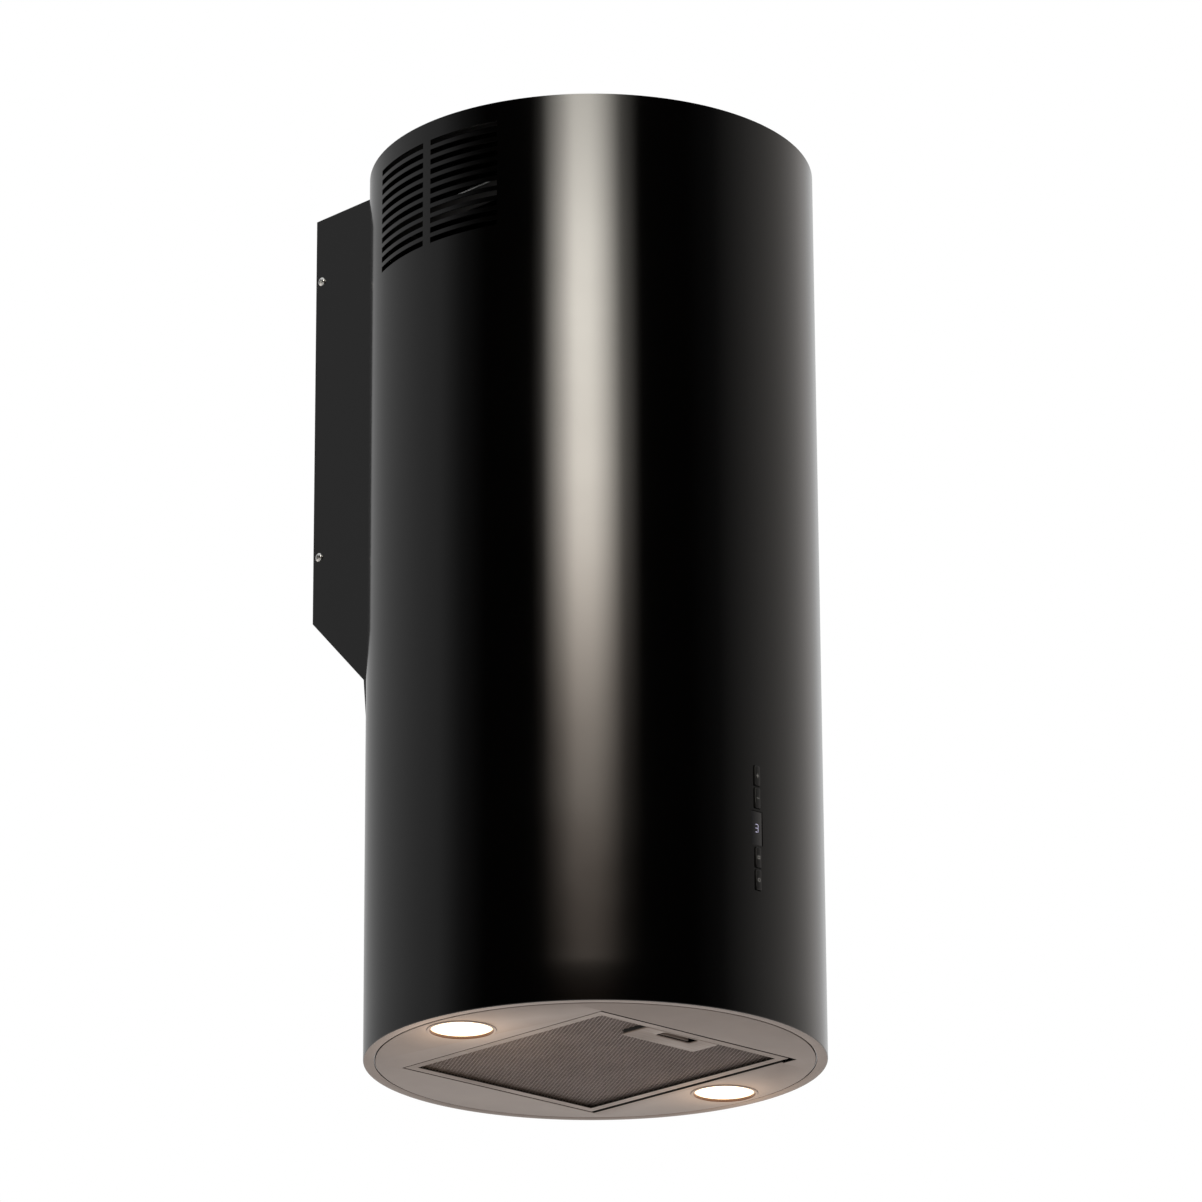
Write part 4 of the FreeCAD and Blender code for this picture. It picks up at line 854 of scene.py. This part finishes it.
LENS_RECESS = 0.7                      # the glass shows from this share of its thickness
BORE_GAP, BORE_EDGE = 0.0002, 0.0006   # ring's bore inside the glass's edge, and its chamfer
RING_EDGE, RING_WALL = 0.0009, 0.0014  # rounding of the ring's flange, and thickness of its wall
LENS_BULGE, LENS_STEPS = 0.0004, 8


class HOOD_OT_lamps(bpy.types.Operator):
    """Build the lamp rings and lit glasses"""
    bl_idname = "hood.lamps"
    bl_label = "Lamps"

    def execute(self, context):
        for side in SIDES:
            low, high = corners(f"lamp_ring_{side}")
            glass_low, glass_high = corners(f"lamp_glass_{side}")
            spot = (low + high) / 2
            glass = (glass_high.x - glass_low.x) / 2
            inset = glass_low.z + LENS_RECESS * (glass_high.z - glass_low.z)
            self.ring(side, spot, glass, inset)
            lens = bmesh.new()
            edge = inset - LENS_BULGE
            dome = [(0.0, edge)]
            dome += [(glass * step / LENS_STEPS, edge + LENS_BULGE * (step / LENS_STEPS) ** 4)
                     for step in range(1, LENS_STEPS + 1)]
            dome += [(glass, glass_high.z), (0.0, glass_high.z)]
            lathe(lens, dome, spot, closed=False)
            lens = to_mesh("lens", lens)
            across = lens.attributes.new("across", "FLOAT", "POINT")
            across.data.foreach_set("value", [min(1.0, math.dist(vert.co.xy, spot.xy) / glass)
                                              for vert in lens.vertices])
            add(f"lamp_glass_{side}_finished", lens, "root", "glass", [f"lamp_glass_{side}"])
        return {"FINISHED"}

    def ring(self, side, spot, glass, inset):
        """A painted flange round the glass, with a bore in dark amber-brown: painted shade tinted by the
        lamp's warm light.
        """
        low, high = corners(f"lamp_ring_{side}")
        flange = (high.x - low.x) / 2
        behind = corners(f"lamp_glass_{side}")[0].z - 0.0001
        profile = [(glass - BORE_GAP, inset), (glass - BORE_GAP, low.z + BORE_EDGE),
                   (glass + BORE_EDGE, low.z)]
        profile += arc_points((flange - RING_EDGE, low.z + RING_EDGE), RING_EDGE, -90, 0, 6)
        profile += [(flange, behind), (glass + RING_WALL, behind), (glass + RING_WALL, high.z),
                    (glass + BORE_GAP, high.z), (glass + BORE_GAP, inset)]
        build = bmesh.new()
        lathe(build, profile, spot)
        mesh = to_mesh("ring", build)
        two_finishes(mesh, "panel_paint", "lamp_bore",
                     lambda face: (face.center - spot).xy.length < glass + 2 * BORE_GAP
                     and abs(face.normal.z) < 0.9)
        add(f"lamp_ring_{side}_finished", mesh, "root", "panel_paint", [f"lamp_ring_{side}"])


# Bars of the figure three, each with its place across and up in bar lengths, and whether it lies flat.
SEGMENTS_OF_THREE = ((0, 1, True), (0, 0, True), (0, -1, True), (0.5, 0.5, False), (0.5, -0.5, False))
DIGIT_BAR, DIGIT_HALF = 0.0033, 0.00022     # length and half width of a bar
MARK_FRONT, MARK_BACK = 0.0001, 0.00006     # a sign stands proud of its cap and reaches into it
CAP_CORNER, WINDOW_CORNER = 0.0009, 0.0006
PLUS = ((-1, -0.2), (-0.2, -0.2), (-0.2, -1), (0.2, -1), (0.2, -0.2), (1, -0.2),
        (1, 0.2), (0.2, 0.2), (0.2, 1), (-0.2, 1), (-0.2, 0.2), (-1, 0.2))
SIGN = 0.0016                               # half width of the ring, minus and plus


class HOOD_OT_controls(bpy.types.Operator):
    """Build the push buttons, their marks, the display window and its lit digit"""
    bl_idname = "hood.controls"
    bl_label = "Controls"

    def execute(self, context):
        for node in BUTTONS:
            low, high = corners(node)
            centre = (low + high) / 2
            outline = front_outline(centre, (high.x - low.x) / 2 - BUTTON_FLANGE,
                                    (high.z - low.z) / 2 - BUTTON_LIP, CAP_CORNER, 5)
            cap = cut_plate("cap", [outline], -high.y, -low.y, 0.0003, TO_FRONT)
            mark = cut_plate("mark", self.sign(node, centre), -low.y - MARK_FRONT, -low.y + MARK_BACK,
                             0.00002, TO_FRONT)
            body = body_of(node)
            add(f"{node}_cap", cap, body, "button_plastic", [node])
            add(f"{node}_mark", mark, body, "button_mark")
        low, high = corners("display_window")
        outline = rounded_rectangle((low.x, low.z), (high.x, high.z), WINDOW_CORNER, 4)
        pane = cut_plate("pane", [outline], -high.y, -low.y, 0.0002, TO_FRONT)
        add("display_window_finished", pane, "root", "smoked", ["display_window"])
        self.digit((low + high) / 2, low.y)
        return {"FINISHED"}

    def sign(self, node, centre):
        """Outlines of the plain sign on a button: ring, square, minus or plus."""
        outlines = {
            "button_light": [ring_points((centre.x, centre.z), radius, 24) for radius in (SIGN, 0.0010)],
            "button_off": [front_outline(centre, half, half, corner)
                           for half, corner in ((0.0014, 0.0004), (0.0008, 0.0002))],
            "button_slower": [front_outline(centre, SIGN, 0.0003, 0.0001)],
            "button_faster": [[(centre.x + across * SIGN, centre.z + up * SIGN) for across, up in PLUS]],
        }
        return outlines[node]

    def digit(self, centre, front):
        """Seven-segment bars just in front of the window."""
        half = DIGIT_HALF
        reach = DIGIT_BAR / 2 - half * 0.6
        points = [(-reach, 0), (-reach + half, -half), (reach - half, -half),
                  (reach, 0), (reach - half, half), (-reach + half, half)]
        bars = []
        for across, up, flat in SEGMENTS_OF_THREE:
            x, z = centre.x + across * DIGIT_BAR, centre.z + up * DIGIT_BAR
            outline = [(x + a, z + b) if flat else (x + b, z + a) for a, b in points]
            bars.append(cut_plate("bar", [outline], -front - 0.00004, -front + 0.00006, 0.00001, TO_FRONT))
        add("display_digit", joined("display_digit", *bars), "root", "digit")


SCREW_RADIUS, SCREW_HEIGHT, SHANK_RADIUS = 0.004, 0.0024, 0.002
CROSS_LONG, CROSS_WIDE, CROSS_TAPER = 1.15, 0.26, 0.6     # recess across the head, in radii
SEAT_EDGE = 0.3                                           # height of the head's edge, in heads
# The way that each set of screws faces, from a screw's middle.
SCREW_WAYS = {
    "side_screws": lambda centre: Vector((math.copysign(1, centre.x), 0, 0)),
    "panel_screws": lambda centre: Vector((AXIS.x - centre.x, AXIS.y - centre.y, 0)).normalized(),
    "separator_screws": lambda centre: Vector((0, 0, 1)),
}


def screw_template():
    """A pan head with a cross recess, its axis along +Z and its seat at the origin."""
    radius, height = SCREW_RADIUS, SCREW_HEIGHT
    build = bmesh.new()
    dome = [(0.0, 0.0), (radius, 0.0), (radius, height * SEAT_EDGE)]
    dome += [(radius * math.cos(a), height * (SEAT_EDGE + (1 - SEAT_EDGE) * math.sin(a)))
             for a in (math.radians(15 * i) for i in range(1, 6))] + [(0.0, height)]
    lathe(build, dome, Vector((0, 0, 0)), 32, closed=False)
    head = bpy.data.objects.new("head", to_mesh("head", build))
    cutter = bmesh.new()
    for long_x, long_y in ((CROSS_LONG, CROSS_WIDE), (CROSS_WIDE, CROSS_LONG)):
        for vert in bmesh.ops.create_cube(cutter, size=1.0)["verts"]:
            below = vert.co.z < 0
            reach = radius * (CROSS_TAPER if below else 1.0)
            vert.co = Vector((vert.co.x * long_x * reach, vert.co.y * long_y * reach,
                              height * (SEAT_EDGE if below else 1.2)))
    tool = bpy.data.objects.new("tool", to_mesh("tool", cutter))
    bpy.context.scene.collection.objects.link(tool)
    mesh = baked(head, [("BOOLEAN", {"object": tool, "operation": "DIFFERENCE", "solver": "EXACT",
                                     "use_self": True})])
    bpy.data.objects.remove(tool)
    return mesh


def screw_field():
    """Geometry nodes that set one screw on every vertex, turned to face along a stored direction."""
    tree, inputs = begun_tree("screws", {"Geometry": "Geometry", "Screw": "Object", "Finish": "Material"})
    nodes, links = tree.nodes, tree.links
    source = nodes.new("NodeGroupInput")
    pattern = nodes.new("GeometryNodeObjectInfo")
    links.new(source.outputs["Screw"], pattern.inputs["Object"])
    facing = nodes.new("GeometryNodeInputNamedAttribute")
    facing.data_type = "FLOAT_VECTOR"
    facing.inputs["Name"].default_value = "facing"
    turn = nodes.new("FunctionNodeAlignRotationToVector")
    turn.axis = "Z"
    links.new(facing.outputs["Attribute"], turn.inputs["Vector"])
    field = nodes.new("GeometryNodeInstanceOnPoints")
    links.new(source.outputs["Geometry"], field.inputs["Points"])
    links.new(pattern.outputs["Geometry"], field.inputs["Instance"])
    links.new(turn.outputs["Rotation"], field.inputs["Rotation"])
    close_tree(tree, field.outputs["Instances"], source.outputs["Finish"])
    return tree, inputs


def islands(mesh):
    """The connected solids of a CAD node, as lists of points."""
    build = bmesh.new()
    build.from_mesh(mesh)
    bmesh.ops.remove_doubles(build, verts=build.verts, dist=1e-6)
    seen, groups = set(), []
    for start in build.verts:
        if start in seen:
            continue
        stack, group = [start], []
        seen.add(start)
        while stack:
            vert = stack.pop()
            group.append(vert.co.copy())
            for edge in vert.link_edges:
                other = edge.other_vert(vert)
                if other not in seen:
                    seen.add(other)
                    stack.append(other)
        groups.append(group)
    build.free()
    return groups


class HOOD_OT_screws(bpy.types.Operator):
    """Set cross-recessed pan heads on the screws that show"""
    bl_idname = "hood.screws"
    bl_label = "Screws"

    def execute(self, context):
        pattern = bpy.data.objects.new("screw_pattern", screw_template())
        context.scene.collection.objects.link(pattern)
        tree, inputs = screw_field()
        for node, facing_of in SCREW_WAYS.items():
            seats, ways, shanks = [], [], []
            for group in islands(NODES[node].data):
                way = facing_of(sum(group, Vector()) / len(group))
                seat = max(point.dot(way) for point in group) - SCREW_HEIGHT
                end = min(point.dot(way) for point in group)
                box_middle = (Vector(map(min, zip(*group))) + Vector(map(max, zip(*group)))) / 2
                across = box_middle - way * box_middle.dot(way)
                seats.append(across + way * seat)
                ways.append(way)
                shanks.append((across + way * end, across + way * seat))
            points = bpy.data.meshes.new("seats")
            points.from_pydata(seats, [], [])
            facing = points.attributes.new("facing", "FLOAT_VECTOR", "POINT")
            facing.data.foreach_set("vector", [part for way in ways for part in way])
            heads = grown(points, tree, inputs, Screw=pattern, Finish=finish_of("zinc"))
            add(f"{node}_finished", self.with_shanks(node, heads, shanks), "root", "zinc", [node])
        bpy.data.objects.remove(pattern)
        return {"FINISHED"}

    def with_shanks(self, node, heads, shanks):
        """The heads and a plain cylinder under each."""
        build = bmesh.new()
        build.from_mesh(heads)
        for start, end in shanks:
            span = end - start
            made = bmesh.ops.create_cone(build, cap_ends=True, segments=16, radius1=SHANK_RADIUS,
                                         radius2=SHANK_RADIUS, depth=span.length)["verts"]
            turn = span.to_track_quat("Z", "Y").to_matrix().to_4x4()
            bmesh.ops.transform(build, matrix=Matrix.Translation((start + end) / 2) @ turn, verts=made)
        mesh = bpy.data.meshes.new(f"{node}_finished")
        build.to_mesh(mesh)
        build.free()
        return mesh


PAINTED_GLINT_STRIP = 0.0014     # bright zinc strip along the top of a tie: a painted highlight, where a glint shows between the slots


class HOOD_OT_inside(bpy.types.Operator):
    """Give every carried-over part its own finish, and round the sheet parts that show through openings"""
    bl_idname = "hood.inside"
    bl_label = "Inner parts"

    def execute(self, context):
        for side in SIDES:
            self.tie(f"frame_tie_{side}")
        for node in ("outlet_box", "junction_box", "junction_cover", *RAILS):
            softened(node, INNER_EDGE, 1)
        for node, piece in NODES.items():
            if piece.hide_render:
                continue
            piece.data.materials.clear()
            painted = node in ("upper_ring", *RAILS)
            piece.data.materials.append(finish_of("inner_paint" if painted else slot_of(node)))
        return {"FINISHED"}

    def tie(self, node):
        """A bar in dark paint with a bright zinc strip along its top, a painted highlight where a glint shows
        between the slots.
        """
        mesh = softened(node, INNER_EDGE, 1).data
        line = corners(node)[1].z - PAINTED_GLINT_STRIP
        build = bmesh.new()
        build.from_mesh(mesh)
        bmesh.ops.bisect_plane(build, geom=[*build.verts, *build.edges, *build.faces],
                               plane_co=(0, 0, line), plane_no=(0, 0, 1))
        build.to_mesh(mesh)
        build.free()
        # faces above the line take bright zinc: the painted highlight
        two_finishes(mesh, "inner_paint", "zinc", lambda face: face.center.z > line)


# Stage.

FLOOR_Z = TUBE_LOW.z - 6.0     # low enough for a view from straight below
FLOOR_HALF = 8.2
CAMERA_AZIMUTH, CAMERA_TILT, CAMERA_PAN, CAMERA_ROLL = 43.6, 19.309, 0.0778, -0.317     # degrees
CAMERA_DISTANCE, CAMERA_DROP = 4.945, 1.3226     # from the tube's axis, and below its foot
CAMERA_LENS, SENSOR = 182.2, 36.0                # millimetres
SPILL_DROP, SPILL_POWER = 0.035, 0.14            # of the light thrown back round a lamp
# The room below the horizon, dim on the camera's side.
LOWER_ROOM = ((-180, (1.0, 0.93, 0.885)), (-100, (0.86, 0.80, 0.76)), (-40, (0.27, 0.25, 0.23)),
              (40, (0.27, 0.25, 0.23)), (100, (0.86, 0.80, 0.76)), (180, (1.0, 0.93, 0.885)))
# Brightness of the room round the hood, by angle in degrees from the camera's side, right positive.
WALLS = ((-180, 0.62), (-160, 0.48), (-134, 0.40), (-110, 0.39), (-84, 0.34), (-70, 0.1), (-56, 0.0),
         (50, 0.0), (66, 0.05), (89, (0.33, 0.315, 0.30)), (113, (0.58, 0.55, 0.52)),
         (138, (0.88, 0.84, 0.81)), (160, 0.9), (180, 0.62))
# The tall softbox, across and by angle above the horizon.
SOFTBOX_ACROSS = ((-30, 0.0), (-25, 0.03), (-15.7, 0.5), (-8.5, 1.0), (-0.5, 1.0), (5, 0.74), (14.8, 0.10),
                  (24, 0.0))
SOFTBOX_UP = ((15.0, (0.002, 0.001, 0.0005)), (16.6, (0.010, 0.004, 0.002)), (18.0, (0.020, 0.010, 0.006)),
              (19.2, (0.38, 0.31, 0.26)), (20.2, (1.0, 0.93, 0.825)), (21.6, (1.0, 0.955, 0.86)),
              (22.6, (1.0, 0.955, 0.86)), (23.7, (0.41, 0.392, 0.355)), (26.0, (0.32, 0.305, 0.275)),
              (40.0, (0.05, 0.05, 0.05)))
SOFTBOX_POWER = 22.0


class HOOD_OT_stage(bpy.types.Operator):
    """Set the camera, lights, pale floor and surroundings"""
    bl_idname = "hood.stage"
    bl_label = "Stage"

    def execute(self, context):
        scene = context.scene
        self.camera(scene)
        floor = bmesh.new()
        bmesh.ops.create_grid(floor, x_segments=1, y_segments=1, size=FLOOR_HALF)
        bmesh.ops.translate(floor, verts=floor.verts, vec=(0, AXIS.y, FLOOR_Z))
        mesh = bpy.data.meshes.new("floor")
        floor.to_mesh(mesh)
        floor.free()
        mesh.materials.append(finish("floor_paint", (0.8, 0.8, 0.8), 0.6))
        piece = bpy.data.objects.new("floor", mesh)
        scene.collection.objects.link(piece)
        self.surroundings(scene)
        for side in SIDES:
            self.lamp_spill(side)
        scene.view_settings.view_transform = "Standard"
        return {"FINISHED"}

    def lamp_spill(self, side):
        """Warm light that a lamp throws back on the panel round it."""
        light = bpy.data.lights.new(f"lamp_spill_{side}", "POINT")
        light.energy = SPILL_POWER
        light.color = colours().lamp
        light.shadow_soft_size = 0.012
        holder = bpy.data.objects.new(f"lamp_spill_{side}", light)
        bpy.context.scene.collection.objects.link(holder)
        holder.location = middle(f"lamp_glass_{side}") - Vector((0, 0, SPILL_DROP))
        holder.visible_camera = False
        holder.visible_glossy = False

    def camera(self, scene):
        """A long lens from below the hood, aimed a little off level."""
        azimuth, tilt, pan, roll = (math.radians(angle) for angle in (CAMERA_AZIMUTH, CAMERA_TILT,
                                                                      CAMERA_PAN, CAMERA_ROLL))
        camera = bpy.data.cameras.new("camera")
        camera.lens = CAMERA_LENS
        camera.sensor_width = SENSOR
        camera.clip_end = 50.0
        holder = bpy.data.objects.new("camera", camera)
        scene.collection.objects.link(holder)
        forward = Vector((math.sin(pan) * math.cos(tilt), math.cos(pan) * math.cos(tilt), math.sin(tilt)))
        level = Vector((math.cos(pan), -math.sin(pan), 0))
        upright = level.cross(forward)
        right = math.cos(roll) * level + math.sin(roll) * upright
        up = -math.sin(roll) * level + math.cos(roll) * upright
        turn = Matrix.Rotation(-azimuth, 3, "Z")
        axes = Matrix((turn @ right, turn @ up, turn @ -forward)).transposed()
        spot = AXIS + turn @ Vector((0, -CAMERA_DISTANCE, 0))
        spot.z = TUBE_LOW.z - CAMERA_DROP
        holder.matrix_world = Matrix.Translation(spot) @ axes.to_4x4()
        scene.camera = holder

    def surroundings(self, scene):
        """White behind the hood to the eye, and a studio of soft light round it for everything else."""
        world = bpy.data.worlds.new("surroundings")
        scene.world = world
        world.use_nodes = True
        nodes, links = world.node_tree.nodes, world.node_tree.links
        backdrop = next(node for node in nodes if node.type == "BACKGROUND")
        backdrop.inputs["Color"].default_value = (1, 1, 1, 1)
        room = nodes.new("ShaderNodeBackground")
        direction = nodes.new("ShaderNodeTexCoord")
        turned = nodes.new("ShaderNodeMapping")
        turned.inputs["Rotation"].default_value = (0, 0, math.radians(90 + CAMERA_AZIMUTH))
        links.new(direction.outputs["Generated"], turned.inputs["Vector"])
        around = nodes.new("ShaderNodeTexGradient")
        around.gradient_type = "RADIAL"
        links.new(turned.outputs["Vector"], around.inputs["Vector"])
        split = nodes.new("ShaderNodeSeparateXYZ")
        links.new(direction.outputs["Generated"], split.inputs["Vector"])

        def by_azimuth(stops):
            return ramp(world.node_tree, around.outputs["Fac"],
                        [(0.5 + angle / 360, tone) for angle, tone in stops])

        def by_height(stops):
            return ramp(world.node_tree, split.outputs["Z"], stops)

        def mixed(kind, first, second, factor=1.0):
            node = nodes.new("ShaderNodeMix")
            node.data_type = "RGBA"
            node.blend_type = kind
            if isinstance(factor, float):
                node.inputs["Factor"].default_value = factor
            else:
                links.new(factor, node.inputs["Factor"])
            for socket, feed in ((node.inputs[6], first), (node.inputs[7], second)):
                if isinstance(feed, tuple):
                    socket.default_value = (*feed, 1.0)
                else:
                    links.new(feed, socket)
            return node.outputs[2]

        heights = [(math.sin(math.radians(angle)), tone) for angle, tone in SOFTBOX_UP]
        softbox = mixed("MULTIPLY", by_azimuth(SOFTBOX_ACROSS), by_height(heights))
        strong = mixed("MULTIPLY", softbox, (SOFTBOX_POWER,) * 3)
        ceiling = by_height([(0.45, 0.0), (0.75, 1.0)])
        upper = mixed("MIX", mixed("ADD", by_azimuth(WALLS), strong), (0.7, 0.7, 0.7), ceiling)
        below = nodes.new("ShaderNodeMapRange")
        below.inputs["From Min"].default_value = 0.02
        below.inputs["From Max"].default_value = -0.04
        links.new(split.outputs["Z"], below.inputs["Value"])
        whole = mixed("MIX", upper, by_azimuth(LOWER_ROOM), below.outputs["Result"])
        links.new(whole, room.inputs["Color"])
        path = nodes.new("ShaderNodeLightPath")
        choice = nodes.new("ShaderNodeMixShader")
        output = next(node for node in nodes if node.type == "OUTPUT_WORLD")
        links.new(path.outputs["Is Camera Ray"], choice.inputs["Fac"])
        links.new(room.outputs["Background"], choice.inputs[1])
        links.new(backdrop.outputs["Background"], choice.inputs[2])
        links.new(choice.outputs["Shader"], output.inputs["Surface"])


class HOOD_PT_panel(bpy.types.Panel):
    """The steps, sizes and colours of the hood in the sidebar"""
    bl_idname = "HOOD_PT_panel"
    bl_label = "Tube range hood"
    bl_space_type = "VIEW_3D"
    bl_region_type = "UI"
    bl_category = "Hood"

    def draw(self, context):
        for step in STEPS:
            self.layout.operator(step.bl_idname)
        for group in (context.scene.hood_sizes, context.scene.hood_colours):
            for name in group.__annotations__:
                self.layout.prop(group, name)


STEPS = (HOOD_OT_stage, HOOD_OT_casing, HOOD_OT_spacer, HOOD_OT_panel, HOOD_OT_filter, HOOD_OT_lamps,
         HOOD_OT_controls, HOOD_OT_screws, HOOD_OT_inside)
CLASSES = (HoodSizes, HoodColours, *STEPS, HOOD_PT_panel)


def register():
    for item in CLASSES:
        bpy.utils.register_class(item)
    bpy.types.Scene.hood_sizes = bpy.props.PointerProperty(type=HoodSizes)
    bpy.types.Scene.hood_colours = bpy.props.PointerProperty(type=HoodColours)


def unregister():
    del bpy.types.Scene.hood_sizes
    del bpy.types.Scene.hood_colours
    for item in reversed(CLASSES):
        bpy.utils.unregister_class(item)


def main():
    register()
    for step in STEPS:
        group, name = step.bl_idname.split(".")
        getattr(getattr(bpy.ops, group), name)()


if __name__ == "__main__":
    main()
